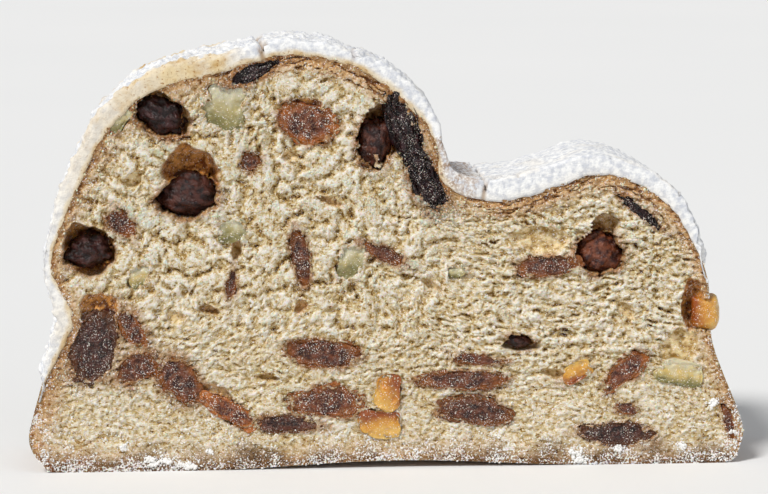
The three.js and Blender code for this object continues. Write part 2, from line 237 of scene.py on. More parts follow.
def resample(line, count, closed=False):
    """Points at even distances along a line, on a Catmull-Rom curve through its own points."""
    ends = (line[-1:], line[:2]) if closed else (2 * line[:1] - line[1:2], 2 * line[-1:] - line[-2:-1])
    padded = np.concatenate([ends[0], line, ends[1]])
    spans, steps = len(padded) - 3, 12  # stretches between points, and short steps in each
    t = np.linspace(0, spans, spans * steps + 1)[:, None]
    i = np.minimum(t.astype(int), spans - 1)[:, 0]
    f = t - i[:, None]
    a, b, c, d = (padded[i + k] for k in range(4))
    fine = b + 0.5 * f * (c - a + f * (2 * a - 5 * b + 4 * c - d + f * (3 * (b - c) + d - a)))
    fine[:, 1] = np.maximum(fine[:, 1], 0)
    run = np.concatenate([[0], np.cumsum(np.linalg.norm(np.diff(fine, axis=0), axis=1))])
    stops = np.linspace(0, run[-1], count, endpoint=not closed)
    return np.stack([np.interp(stops, run, fine[:, k]) for k in (0, 1)], axis=1)


def dough_outline():
    """The dough's outline at the cuts: the places that have a point on the front cut and one right
    behind it on the back cut, clockwise round the dough's middle from straight below it."""
    points = node_points("dough")
    sides = [points[np.abs(points[:, 1] - y) < 0.01][:, [0, 2]] for y in (-FACE, FACE)]
    keys = [side[:, 0] * 1e4 + side[:, 1] for side in sides]
    shared = sides[0][np.isin(np.round(keys[0], 2), np.round(keys[1], 2))]
    away = shared - HEART
    turn = -np.arctan2(away[:, 1], away[:, 0]) - np.pi / 2
    return shared[np.argsort(turn % (2 * np.pi))]


HEART = np.array([-0.02 * WIDTH, 0.42 * HEIGHT])  # every point of the outline can be seen from here
OUTLINE = resample(dough_outline(), 1400, closed=True)


def side_between(start, end, count):
    """The clockwise stretch of the outline between the points nearest to two places, resampled. The
    places are shares of the dough's width and height."""
    places = [np.array(place) * (WIDTH, HEIGHT) for place in (start, end)]
    first, last = (np.argmin(np.linalg.norm(OUTLINE - place, axis=1)) for place in places)
    stretch = np.roll(OUTLINE, -first, axis=0)[: (last - first) % len(OUTLINE) + 1]
    every = np.linspace(0, len(stretch) - 1, len(stretch) // 8).astype(int)  # evens out small kinks
    return resample(stretch[every], count)


def face_grid(rows, columns):
    """Points over the cut: a Coons patch. Each is the blend of the four sides' points at its row and
    column, less the blend of the four corners."""
    feet = (-0.475, 0.005), (0.475, 0.005)
    shoulders = (-0.372, 0.835), (0.385, 0.64)
    left = side_between(feet[0], shoulders[0], rows)[:, None]
    top = side_between(shoulders[0], shoulders[1], columns)[None]
    right = side_between(shoulders[1], feet[1], rows)[::-1][:, None]
    bottom = side_between(feet[1], feet[0], columns)[::-1]
    u = np.linspace(0, 1, columns)
    lean = u - 0.07 * np.sin(np.pi * u)
    bottom = np.stack([np.interp(lean, u, bottom[:, k]) for k in (0, 1)], axis=1)[None]
    u = u[None, :, None]
    v = np.linspace(0, 1, rows)[:, None, None]
    sides = (1 - v) * bottom + v * top + (1 - u) * left + u * right
    low = (1 - u) * bottom[:, :1] + u * bottom[:, -1:]
    high = (1 - u) * top[:, :1] + u * top[:, -1:]
    return sides - (1 - v) * low - v * high


STAINED = {f"raisin_{i:02}" for i in (1, 6, 7, 14, 15, 16, 17)}  # these have wetted the crumb most
FLECKED = {f"raisin_{i:02}" for i in (2, 5, 6, 25)}  # these have crumbs stuck to them
WHOLE_FROM = 0.1  # a fruit that starts this far behind its cut, in millimetres, is whole
SLICED_BEHIND = 0.3  # how far a sliced fruit's middle lies behind its cut, as a share of its half depth


def fruit_measures(name):
    """A fruit's place from its CAD node: its middle on the cut, its half length and height along its
    own axes, its tilt, the cut that it lies at, how far its near and far sides lie behind that cut, if
    it is whole, and half its depth. halo: how far its juice spreads; corner: how square it is."""
    points = node_points(name)
    side = np.sign(points[:, 1].mean())
    flat = points[:, [0, 2]]
    middle = (flat.max(0) + flat.min(0)) / 2
    axes = np.linalg.eigh(np.cov((flat - middle).T))[1][:, ::-1]
    along, up = axes.T
    if along[0] < 0:
        along = -along
    up = np.array([-along[1], along[0]])
    spans = [(flat - middle) @ axis for axis in (along, up)]
    middle = middle + sum(axis * (s.max() + s.min()) / 2 for axis, s in zip((along, up), spans))
    half = np.array([np.ptp(s) / 2 for s in spans])
    near = FACE - np.abs(points[:, 1]).max()
    far = FACE - np.abs(points[:, 1]).min()
    whole = near > WHOLE_FROM
    return {"name": name, "side": side, "at": middle, "half": half, "near": near, "far": far,
            "tilt": np.arctan2(along[1], along[0]), "seed": int(name.split("_")[-1]) + len(name),
            "whole": whole, "thick": (far - near) / 2 if whole else far / (1 + SLICED_BEHIND),
            "halo": 3.0 if name in STAINED else 1.5, "flecked": float(name in FLECKED),
            "corner": 2.2 if name.startswith("raisin") else 3.6}


FRUITS = [fruit_measures(s["node"]) for s in frame["record"]["subparts"] if s["node"][-1].isdigit()]


LOBES = 0.16  # how far a fruit's lobes stand out, as a share of its half size


def lobe_wave(angle, seed):
    """Uneven lobes round a middle: waves of 2, 3, 5 and 8 turns, each as high as it is long."""
    return sum(np.sin(n * angle + seed * n * 1.3) / n for n in (2, 3, 5, 8))


def reach(x, z, at, half, tilt, seed, lobes=LOBES, corner=2.0):
    """How far a place lies out from a patch's middle, as a share of its edge, which is 1. The edge is
    a superellipse with a few uneven lobes."""
    c, s = np.cos(tilt), np.sin(tilt)
    p = (c * (x - at[0]) + s * (z - at[1])) / half[0]
    q = (-s * (x - at[0]) + c * (z - at[1])) / half[1]
    out = (np.abs(p) ** corner + np.abs(q) ** corner) ** (1 / corner)
    return out / (1 + lobes * lobe_wave(np.arctan2(q, p), seed))


def hollow(by, at, half, deep, film=0.0, tilt=0.0, side=-1):
    """A hollow at a cut, where the crumb has drawn away from its fruit or risen most. by: the fruit
    that it lies at; at: from there, or from the base's middle if it lies alone; half: half its width
    and height; deep: how deep; film: how much it is lined with juice-stained skin; side: its cut."""
    middle = next(f["at"] for f in FRUITS if f["name"] == by) if by else (0, 0)
    return {"at": np.array(middle) + at, "half": half, "deep": deep, "film": film,
            "tilt": np.radians(tilt), "side": side}


HOLLOWS = [
    hollow("raisin_02", (0.3, -0.1), (5.0, 3.8), 4.4, 0.5, -14),
    hollow("raisin_03", (0.3, 4.3), (4.5, 4.6), 5.2, 1.0, 30),
    hollow("raisin_04", (-1.2, 2.2), (3.6, 2.0), 1.6, 1.0, 6),
    hollow("raisin_05", (1.2, 1.9), (4.1, 4.3), 6.2, 0.6),
    hollow("raisin_08", (0.2, 0.4), (4.3, 4.8), 6.0, 0.9, 8),
    hollow("raisin_14", (0.6, 6.9), (3.1, 3.0), 1.7, 1.0),
    hollow("raisin_18", (-2.6, 3.0), (2.8, 2.0), 1.8, 0.5, -20),
    hollow("raisin_26", (0.8, 4.3), (2.5, 2.9), 4.8, 0.3),
    hollow("raisin_25", (-1.2, 4.6), (5.6, 2.3), 1.5, 0.12, -10),
    hollow("raisin_28", (0.4, -0.8), (2.9, 1.2), 3.4, 0.1, -4),
    hollow("orange_peel_1", (-2.4, 1.6), (1.9, 5.2), 3.4, 1.0),
    hollow("orange_peel_4", (-4.2, -0.4), (2.2, 0.9), 2.0, 0.2, -8),
    hollow("citron_4", (-0.3, 4.4), (3.6, 3.6), 1.5, 0.12),
    hollow("citron_2", (0.8, -3.2), (0.9, 1.9), 2.8, 0.3, -8),
    hollow(None, (-43.9, 51.2), (2.1, 1.3), 1.6, 0.1, 24),
    hollow(None, (-31.2, 28.3), (1.8, 0.8), 1.9, 0.5, -12),
    hollow(None, (-15.2, 28.8), (1.0, 1.4), 1.7, 0.6, -20),
    hollow(None, (-10.4, 47.1), (2.7, 0.55), 1.5, 0.5, -22),
    hollow(None, (7.4, 32.4), (2.0, 0.7), 1.7, 0.2, -36),
    hollow(None, (41.6, 27.4), (1.9, 1.1), 1.8, 0.1, -46),
    hollow(None, (-37.0, 27.1), (1.6, 1.2), 1.2, 0.2, 10),
    hollow(None, (-33.6, 50.6), (1.4, 0.5), 1.2, 0.5, 70),
    hollow(None, (-17.0, 55.0), (1.5, 0.9), 1.3, 0.2, 12),
    hollow(None, (-21.2, 16.2), (2.4, 0.5), 1.5, 0.3, -10),
    hollow("raisin_33", (0.4, 2.2), (4.4, 3.8), 5.0, 0.9, 16, 1),
    hollow("raisin_36", (0.4, 2.1), (4.4, 3.8), 5.0, 0.8, -20, 1),
    hollow("orange_peel_6", (2.0, 1.6), (2.2, 1.4), 2.2, 0.9, 30, 1),
    hollow(None, (31.5, 37.0), (2.6, 1.2), 2.4, 0.2, 8, 1),
    hollow(None, (-8.0, 52.0), (2.2, 1.5), 2.0, 0.3, 30, 1),
    hollow(None, (10.0, 22.0), (2.6, 0.8), 1.8, 0.2, -6, 1),
    hollow(None, (-30.0, 24.0), (2.0, 0.8), 1.6, 0.4, 12, 1),
]


def crust_width(x, z):
    """The crust's width in millimetres, read off for each direction, in degrees, from the heart."""
    angle = np.degrees(np.arctan2(z - HEART[1], x - HEART[0])) % 360
    directions = [0, 12, 30, 52, 70, 100, 130, 150, 172, 190, 205, 220, 270, 330, 350, 360]
    widths = [2.6, 4.4, 6.0, 5.2, 4.6, 5.0, 5.6, 6.5, 3.6, 4.8, 6.0, 5.2, 5.6, 5.0, 4.4, 2.6]
    return np.interp(angle, directions, widths)


def sunken(depth, passes):
    """How far each place of a grid lies below its surroundings: its depth less the depth blurred by
    some passes of a 1-2-1 filter each way."""
    blurred = depth
    for _ in range(passes):
        wide = np.pad(blurred, 1, "edge")
        blurred = (wide[:-2] + 2 * wide[1:-1] + wide[2:])[:, 1:-1] / 4
        wide = np.pad(blurred, 1, "edge")
        blurred = (wide[:, :-2] + 2 * wide[:, 1:-1] + wide[:, 2:])[1:-1] / 4
    return depth - blurred


def cut_surface(x, z, side):
    """The cut face. Returns its depth behind the cut in millimetres, and its looks as named fields of
    0 to 1. Depth is slow waves of the knife, less clumps, whose height is the size of a noise, so that
    they are round with creases between, plus pits of three sizes. Clumps and pits are drawn out along
    the dough's layers low down and are rounder in the hump. Pockets are the deeper of that and a bowl."""
    flat = np.stack([x, np.full_like(x, side * 9.0), z], axis=-1)
    drift = np.stack([grain(flat, 9, 1), 0 * x, grain(flat, 9, 2)], axis=-1)
    p = flat + 1.6 * drift + 0.4 * np.stack([grain(flat, 1.9, 3), 0 * x, grain(flat, 1.9, 4)], axis=-1)
    layered = np.clip(ramp(z, 34, 14) + ramp(x, 2, 22), 0, 1)
    tilt = np.radians(-8) * layered
    turned = np.stack([np.cos(tilt) * p[..., 0] + np.sin(tilt) * p[..., 2], p[..., 1],
                       np.cos(tilt) * p[..., 2] - np.sin(tilt) * p[..., 0]], axis=-1)
    clumps = (1.4 * np.abs(grain(p, 5.5, 27)) + 0.7 * np.abs(grain(p, 2.6, 5))
              + 0.3 * grain(p, 1.3, 6) + 0.35 * np.abs(grain(p, 0.8, 7)))
    strands = (0.6 * np.abs(grain(turned, (7.4, 2, 2.6), 8)) + 0.4 * np.abs(grain(turned, (3.4, 1, 1.3), 9))
               + 0.35 * grain(turned, (1.4, 1, 0.8), 28) + 0.34 * np.abs(grain(turned, (0.8, 0.8, 0.65), 10)))
    tufts = ramp(grain(p, 6.5, 29), 0.1, 0.5)
    heights = clumps * (1 - layered) + strands * layered
    round_pits = (0.6 * pits(p, 1.5, 11, 0.4, 0.2, 0.5) + 0.9 * pits(p, 3.0, 12, 0.22, 0.16, 0.42)
                  + 1.4 * pits(p, 7, 13, 0.3, 0.1, 0.26))
    long_pits = (0.7 * pits(turned, (1.7, 0.95), 14, 0.6, 0.2, 0.5)
                 + 0.7 * pits(turned, (5.6, 2.1), 15, 0.35, 0.14, 0.4)
                 + 1.1 * pits(turned, (11, 4), 16, 0.25, 0.1, 0.26))
    pores = round_pits * (1 - layered) + long_pits * layered
    calm = 1 - 0.6 * ramp(z, 26, 10)
    depth = 0.8 + 0.3 * grain(flat, 15, 17) + calm * (0.8 * pores * (1 - 0.6 * tufts) - 1.15 * heights)
    depth = depth + 0.26 * grain(p, 0.6, 23) - 0.25 * tufts

    edge, along = crust_distance(x, z)
    width = crust_width(x, z) * (1 + 0.25 * grain(flat, 5, 18))
    edge = edge + 0.5 * grain(flat, 1.7, 38) * ramp(edge, 0, 1)
    crust = 1 - ramp(edge / width, 0.15, 1.0)
    peel = np.stack([along, 0 * x, edge], axis=-1)
    leaves = ramp(np.abs(grain(peel, (6.0, 1, 1.0), 24) + 0.3 * grain(peel, (1.8, 1, 0.7), 25)), 0.2, 0.0)
    flaky = ramp(x, -26, -19) * ramp(x, 2, -3) + 0.9 * ramp(x, 14, 20) * ramp(x, 60, 40)
    leaves = leaves * ramp(edge, 4.4, 2.0) * ramp(edge, 0.2, 0.6) * (z > 30) * (0.25 + 0.75 * flaky)
    depth = depth * (1 - 0.5 * crust) + 0.45 * leaves
    skin = ramp(edge, 1.7, 0.5)
    looks = {"crust": 0.55 * crust + 0.45 * skin, "film": 0 * x, "stain": 0 * x, "halo": 0 * x}
    spots = ramp(grain(flat, 1.7, 67) + 0.5 * grain(flat, 0.8, 68), 0.28, 0.5) * ramp(x, -32, -46)
    looks["leaf"] = np.maximum(leaves, 0.75 * spots * ramp(edge, 5.0, 1.0))
    looks["crust"] = looks["crust"] + 0.35 * ramp(x, -46, -58) * ramp(z, 26, 16) * ramp(edge, 7, 1)
    # darker towards the base: browned base crust, and partly painted shadow where the slice meets the table
    bottom = ramp(z + 2.6 * grain(flat, 5, 36), 5.4, 0.4)
    looks["baked_and_shadow"] = np.maximum(bottom, 0.6 * ramp(edge, 1.1, 0.2))
    looks["crust"] = np.clip(looks["crust"] + 0.4 * flaky * ramp(edge, 4.5, 1.5) * (z > 30), 0, 1)
    # open is painted shade: higher, so darker, where a place lies below its surroundings, and lower, so
    # lighter, where it stands above them
    looks["open"] = LEVEL + 0.55 * sunken(depth, 9) + 0.34 * sunken(depth, 60)

    rough = 0.1 * grain(flat, 1.6, 19)
    crumbly = 0.46 * grain(flat, 3.1, 33) + 0.3 * grain(flat, 1.4, 21) + 0.24 * grain(flat, 0.7, 22)
    flecks = ramp(grain(flat, 1.7, 34) + 0.4 * grain(flat, 0.8, 35), 0.34, 0.42)
    for h in (h for h in HOLLOWS if h["side"] == side):
        rho = reach(x, z, h["at"], h["half"], h["tilt"], h["deep"] * 3, 0.2) + rough
        inside = np.sqrt(np.clip(1 - rho**4, 0, 1))
        floor = h["deep"] * inside * (1 + 0.16 * grain(flat, 2.2, 20))
        floor = floor + 0.3 * grain(flat, 1.5, 58) + 0.18 * grain(flat, 0.7, 59)
        depth = np.where(rho < 1, np.maximum(depth * (1 - inside), 0) + floor, depth)
        looks["film"] = np.maximum(looks["film"], ramp(rho, 1.0, 0.85))
        looks["stain"] = np.maximum(looks["stain"], h["film"] * ramp(rho, 1.06, 0.9))
        # in a hollow the painted shade is an even noise instead
        creased = LEVEL + 0.5 * grain(flat, 1.5, 58) + 0.4 * grain(flat, 0.7, 59)
        looks["open"] = creased + (looks["open"] - creased) * ramp(rho, 0.7, 1.1)
    for f in (f for f in FRUITS if f["side"] == side):
        size = np.sqrt(f["half"][0] * f["half"][1])
        rho = reach(x, z, f["at"], f["half"], f["tilt"], f["seed"], corner=f["corner"])
        torn = rho + crumbly * 1.6 / size
        torn = torn + (1.1 - torn) * flecks * (rho < 1) * f["flecked"]
        bed = (f["near"] + 0.45 * (f["far"] - f["near"])) * ramp(torn, 1.0, 0.84)
        lip = 0.5 * np.maximum(depth, 0) * (torn >= 0.9)
        depth = np.where(torn < 1.04, np.where(torn < 0.9, 0, lip) + bed, depth)
        juicy = 1.0 if "raisin" in f["name"] else 0.2 if "citron" in f["name"] else 0.45
        wet = juicy * np.clip(0.85 + 0.9 * grain(flat, 3.1, 26), 0, 1)
        looks["halo"] = np.maximum(looks["halo"], wet * ramp(torn, 1.0 + f["halo"] / size, 1.0))
        looks["halo"] = np.maximum(looks["halo"], juicy * ramp(torn, 1.04, 0.98))
        if f["whole"]:
            looks["film"] = np.maximum(looks["film"], ramp(torn, 1.02, 0.98))
        # over a fruit the painted shade eases to its middle value
        looks["open"] = LEVEL + (looks["open"] - LEVEL) * ramp(rho, 0.85, 1.1)
    low = 0.35 * ramp(z, 16, 6) + 0.1 * ramp(z, 5, 1) + 0.5 * ramp(edge, 4, 0) * (z < 32)
    looks["dust"] = np.clip(low + 0.6 * grain(flat, 5, 37) * ramp(z, 12, 4), 0, 1)
    looks["layered"] = layered
    return depth, looks


def crust_distance(x, z):
    """Each place's distance in millimetres from the nearest point of the dough's outline, and how far
    round the outline that point lies. The places are taken in parts, to need less memory."""
    places = np.stack([x, z], axis=-1).reshape(-1, 2)
    steps = OUTLINE[::2]
    run = np.linalg.norm(np.diff(steps, axis=0, append=steps[:1]), axis=1)
    run = np.concatenate([[0], np.cumsum(run)[:-1]])
    nearest, along = [], []
    for part in np.array_split(places, 32):
        away = np.hypot(part[:, None, 0] - steps[:, 0], part[:, None, 1] - steps[:, 1])
        nearest.append(away.min(1))
        along.append(run[away.argmin(1)])
    return np.concatenate(nearest).reshape(np.shape(x)), np.concatenate(along).reshape(np.shape(x))


def build(name, points, faces, cap=None, shade=None, fans=()):
    """A mesh object from points in millimetres and rows of four corners, with fans of triangles and
    one many-sided cap if given. All its faces are turned over if they enclose a negative volume.
    shade holds its point fields."""
    groups = [faces, *fans] + ([cap[None]] if cap is not None else [])
    corners = np.concatenate([group.ravel() for group in groups])
    sizes = np.concatenate([np.full(len(group), group.shape[1]) for group in groups])
    starts = np.concatenate([[0], np.cumsum(sizes)[:-1]])
    mesh = bpy.data.meshes.new(name)
    mesh.vertices.add(len(points))
    mesh.vertices.foreach_set("co", (points * MM).astype(np.float32).ravel())
    mesh.loops.add(len(corners))
    mesh.loops.foreach_set("vertex_index", corners.astype(np.int32))
    mesh.polygons.add(len(starts))
    mesh.polygons.foreach_set("loop_start", starts.astype(np.int32))
    mesh.update(calc_edges=True)
    tri = points[faces[:, :3]] - points.mean(0)
    if np.einsum("ij,ij->i", tri[:, 0], np.cross(tri[:, 1], tri[:, 2])).sum() < 0:
        mesh.flip_normals()
    mesh.shade_smooth()
    for key, field in (shade or {}).items():
        layer = mesh.attributes.new(key, "FLOAT", "POINT")
        layer.data.foreach_set("value", np.clip(field, 0, 1).astype(np.float32).ravel())
    made = bpy.data.objects.new(name, mesh)
    bpy.context.scene.collection.objects.link(made)
    return made


def sheet_faces(rows, columns, closed=False):
    """The four corners of each cell of a grid of points, whose last column joins its first if closed."""
    index = np.arange(rows * columns).reshape(rows, columns)
    if closed:
        index = np.hstack([index, index[:, :1]])
    cells = index[:-1, :-1], index[:-1, 1:], index[1:, 1:], index[1:, :-1]
    return np.stack(cells, axis=-1).reshape(-1, 4)


def border(index):
    """The points round a grid's edge, in order."""
    return np.concatenate([index[0, :-1], index[:-1, -1], index[-1, :0:-1], index[:0:-1, 0]])


def crumb_part(name, side, grid, depth, looks, outward):
    """One closed body of the dough: a stretch of the cut face's grid, rings from its edge back to the
    slice's middle, and a flat cap there. A ring's points are the edge less a small uneven depth along
    outward, which is zero where the stretch meets its neighbour."""
    x, z = grid[..., 0], grid[..., 1]
    around = border(np.arange(x.size).reshape(x.shape))
    face = np.stack([x, side * (FACE - depth), z], axis=-1).reshape(-1, 3)
    edge = grid.reshape(-1, 2)[around]
    start = depth.ravel()[around]
    back = start + (FACE - start) * RIM[:, None] / FACE
    rings = np.stack([edge[:, 0] + 0 * back, side * (FACE - back), edge[:, 1] + 0 * back], axis=-1)
    sunk = 0.25 + 0.22 * grain(rings, 4, 30) + 0.16 * grain(rings, 1.4, 31) + 0.1 * grain(rings, 0.7, 32)
    sunk = np.clip(sunk, 0, 1) * ramp(rings[..., 2], 0.2, 2.0)
    away = outward.reshape(-1, 2)[around]
    rings[..., [0, 2]] -= sunk[..., None] * away
    points = np.concatenate([face, rings.reshape(-1, 3)])
    walls = np.concatenate([around, len(face) + np.arange(rings[..., 0].size)])
    strip = sheet_faces(len(RIM) + 1, len(around), closed=True)
    faces = np.concatenate([sheet_faces(*x.shape), walls[strip][:, ::-1]])
    under_coat = np.where(rings[..., 0] < 0, ramp(rings[..., 2], 7, 14), ramp(rings[..., 2], 16, 30))
    dusty = np.clip(0.35 + 0.9 * under_coat + 0.5 * grain(rings, 3.5, 39), 0, 1)
    baked_and_shadow = np.clip(0.55 - 0.35 * under_coat + 0.4 * grain(rings, 6, 40), 0, 1)
    # on the rim, the painted shade is darker where the rim is sunk in
    rim = {"open": LEVEL + 0.3 * sunk, "crust": np.ones_like(sunk), "dust": dusty, "baked_and_shadow": baked_and_shadow}
    shade = {key: np.append(looks[key].ravel(), rim.get(key, 0 * sunk).ravel()) for key in looks}
    made = build(name, points, faces, walls[-len(around):], shade)
    made.data.set_sharp_from_angle(angle=np.radians(80))
    return made


def crumb_half(side, shape, pieces):
    """One half of the dough, from its cut to the slice's middle, as pieces side by side. pieces gives
    each one's name and the share of the grid's columns that it ends at."""
    grid = face_grid(*shape)
    depth, looks = cut_surface(grid[..., 0], grid[..., 1], side)
    depth = np.maximum(depth, -CRUMB_PROUD)
    around = border(np.arange(depth.size).reshape(depth.shape))
    whole = looks["film"].ravel()[around] < 0.3
    depth.ravel()[around] = np.clip(depth.ravel()[around], 0, np.where(whole, 0.25, FACE / 2))
    edge = grid.reshape(-1, 2)[around]
    ahead = np.roll(edge, -1, axis=0) - np.roll(edge, 1, axis=0)
    ahead /= np.linalg.norm(ahead, axis=1, keepdims=True)
    outward = np.zeros_like(grid)
    outward.reshape(-1, 2)[around] = np.stack([ahead[:, 1], -ahead[:, 0]], axis=1)
    first, made = 0, []
    for name, end in pieces:
        last = round(end * (shape[1] - 1))
        part = np.s_[:, first : last + 1]
        fields = {key: value[part] for key, value in looks.items()}
        made.append(crumb_part(name, side, grid[part], depth[part], fields, outward[part]))
        first = last
    return made


def baked_crumb():
    """Baked yeast dough, cut: matt, with painted shade: whitish on its raised torn tips, cream and tan
    between them and brown in its sunken pores; more orange towards the crust, stained where juice has soaked
    in, dusted low down, with painted glints."""
    fields = "open", "layered", "crust", "baked_and_shadow", "leaf", "film", "halo", "stain", "dust"
    made, shader, place, field = material("baked_yeast_crumb", fields)
    drawn = {0: place, 1: (0.7, 1.0, 1.1)}
    drawn_out = add(shader, "VectorMath", "Vector", drawn, operation="MULTIPLY")
    along = {"Factor": field["layered"], "A": place, "B": drawn_out}
    strands = add(shader, "Mix", "Result", along, data_type="VECTOR")
    noise = {}
    for key, size_mm, detail, where in (
        ("tips", 0.3, 2.0, strands),
        ("fine", 0.62, 4.0, strands),
        ("patch", 7.0, 3.0, place),
        ("powder", 0.33, 2.0, place),
        ("drift", 2.4, 2.0, place),
        ("pores", 0.5, 1.0, strands),
        ("glint", 0.24, 0.0, place),
    ):
        inputs = {"Vector": where, "Scale": 1 / (size_mm * MM), "Detail": detail}
        noise[key] = add(shader, "TexNoise", "Fac", inputs)

    # The tone is painted shade: the field open, roughened by noise, runs the ramp from whitish on raised tips
    # to dark brown in sunken places.
    relief = field["open"]
    for key, amount in (("tips", 0.7), ("fine", 0.85), ("patch", 0.4)):
        lifted = add(shader, "Math", "Value", {0: relief, 1: 0.5 * amount}, operation="ADD")
        lowered = {0: noise[key], 1: -amount, 2: lifted}
        relief = add(shader, "Math", "Value", lowered, operation="MULTIPLY_ADD")
    # dark dots of painted shade where small pores would be
    pricked = {"Value": noise["pores"], "From Min": 0.6, "From Max": 0.67, "To Max": 0.32}
    pores = add(shader, "MapRange", "Result", pricked)
    relief = add(shader, "Math", "Value", {0: relief, 1: pores}, operation="ADD")
    tone = add(shader, "ValToRGB", "Color", {"Fac": relief})
    stops = tone.node.color_ramp.elements
    for at, colour in (
        (0.0, "#ece8df"),
        (1.0, "#503012"),
        (0.24, "#dfd5c0"),
        (0.44, "#cbb68a"),
        (0.64, "#ae8f55"),
        (0.84, "#825e2a"),
    ):
        stop = stops[round(at)] if at in (0.0, 1.0) else stops.new(at)
        stop.color = linear(colour)
    # raised is 1 on raised places and 0 in sunken ones; each layer below is paler there, as painted shade
    light = {"Value": relief, "From Min": 0.7, "From Max": 0.1}
    raised = add(shader, "MapRange", "Result", light)
    for key, most, dark, pale in (  # a field, how much it covers, and its tones in sunken places and on raised ones, their difference painted shade
        ("crust", 0.85, "#8a4f20", "#d4a668"),
        # the base band's dark tone is partly painted shadow under the slice
        ("baked_and_shadow", 0.95, "#2f1a10", "#85603b"),
        ("leaf", 0.85, "#5d3413", "#8d5220"),
        ("film", 0.8, "#b08a42", "#ecd8a2"),
        ("halo", 0.9, "#5a2d10", "#ad7a45"),
        ("stain", 0.9, "#74380f", "#dc9842"),
    ):
        tones = {"Factor": raised, "A": linear(dark), "B": linear(pale)}
        own = add(shader, "Mix", "Result", tones, data_type="RGBA")
        share = add(shader, "Math", "Value", {0: field[key], 1: most}, operation="MULTIPLY")
        covered = {"Factor": share, "A": tone, "B": own}
        tone = add(shader, "Mix", "Result", covered, data_type="RGBA")

    powder = noise["powder"]
    for source, amount in ((noise["drift"], 0.5), (field["dust"], 0.16)):
        more = {0: source, 1: amount, 2: powder}
        powder = add(shader, "Math", "Value", more, operation="MULTIPLY_ADD")
    # White specks: icing-sugar dust where the powder noise is high, and painted glints where the glint noise
    # is.
    for source, low, high, most in ((powder, 0.9, 1.02, 0.9), (noise["glint"], 0.68, 0.76, 0.7)):
        between = {"Value": source, "From Min": low, "From Max": high, "To Max": most}
        share = add(shader, "MapRange", "Result", between)
        covered = {"Factor": share, "A": tone, "B": linear("#f5f3f0")}
        tone = add(shader, "Mix", "Result", covered, data_type="RGBA")

    both = {0: noise["tips"], 1: 0.8, 2: noise["fine"]}
    heights = add(shader, "Math", "Value", both, operation="MULTIPLY_ADD")
    bumps = {"Strength": 1.0, "Distance": 0.22 * MM, "Height": heights}
    normal = add(shader, "Bump", "Normal", bumps)
    lined = {0: field["film"], 1: -0.3, 2: 0.9}
    matt = add(shader, "Math", "Value", lined, operation="MULTIPLY_ADD")
    wetted = {0: field["stain"], 1: -0.25, 2: matt}
    roughness = add(shader, "Math", "Value", wetted, operation="MULTIPLY_ADD")
    wire(shader, {"Base Color": tone, "Roughness": roughness, "Normal": normal, "Specular IOR Level": 0.3,
                  "Subsurface Weight": 0.5, "Subsurface Scale": 0.8 * MM,
                  "Subsurface Radius": (1.0, 0.66, 0.34)})
    return made


CRUMB = baked_crumb()
CRUMB_PIECES = (
    (-1, FRONT_GRID, (("crumb_front_hump", 0.5), ("crumb_front_foot", 1.0))),
    (1, BACK_GRID, (("crumb_back", 1.0),)),
)
for side, shape, pieces in CRUMB_PIECES:
    for piece in crumb_half(side, shape, pieces):
        piece.data.materials.append(CRUMB)
        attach(piece, "root")
        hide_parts("dough")

# ------------------------------------------------------------------ torn crumbs
# Small flakes that the knife has pulled up or rubbed off, still hanging on the cut in tufts: thin
# dried dough, paler than what lies under it. Each is a tiny uneven ball on the surface it hangs on.
TORN = 7600
BALL_GRID = (2, 6)  # rings between a small ball's poles, and points round each
CUT_BAND = 1.2  # a point less than this far behind a cut, in millimetres, is part of it
BALLS_PROUD = 0.33  # most that a flake or grain stands out of its cut, millimetres


def crumb_skin(fields=()):
    """The points of the dough's pieces near its surface and their outward directions, in
    millimetres, and their fields of the given names."""
    read = {"co": [], "vector": [], **{key: [] for key in fields}}
    for piece in (o for o in bpy.data.objects if o.name.startswith("crumb_")):
        mesh = piece.data
        sources = {"co": mesh.vertices, "vector": mesh.vertex_normals}
        for key, rows in read.items():
            source = sources.get(key) or mesh.attributes[key].data
            flat = np.empty(len(mesh.vertices) * (3 if key in sources else 1), np.float32)
            source.foreach_get(key if key in sources else "value", flat)
            rows.append(flat.reshape(len(mesh.vertices), -1))
    read = {key: np.concatenate(rows) for key, rows in read.items()}
    places = read.pop("co") / MM
    outer = np.abs(places[:, 1]) > FACE - CUT_BAND
    edge = np.full(len(places), 9.0)
    edge[~outer] = crust_distance(places[~outer, 0], places[~outer, 2])[0]
    seen = (outer | (edge < 0.8)) & (np.abs(places[:, 1]) > 0.01) & (places[:, 2] > 0.3)
    return places[seen], read.pop("vector")[seen], {key: rows[seen, 0] for key, rows in read.items()}


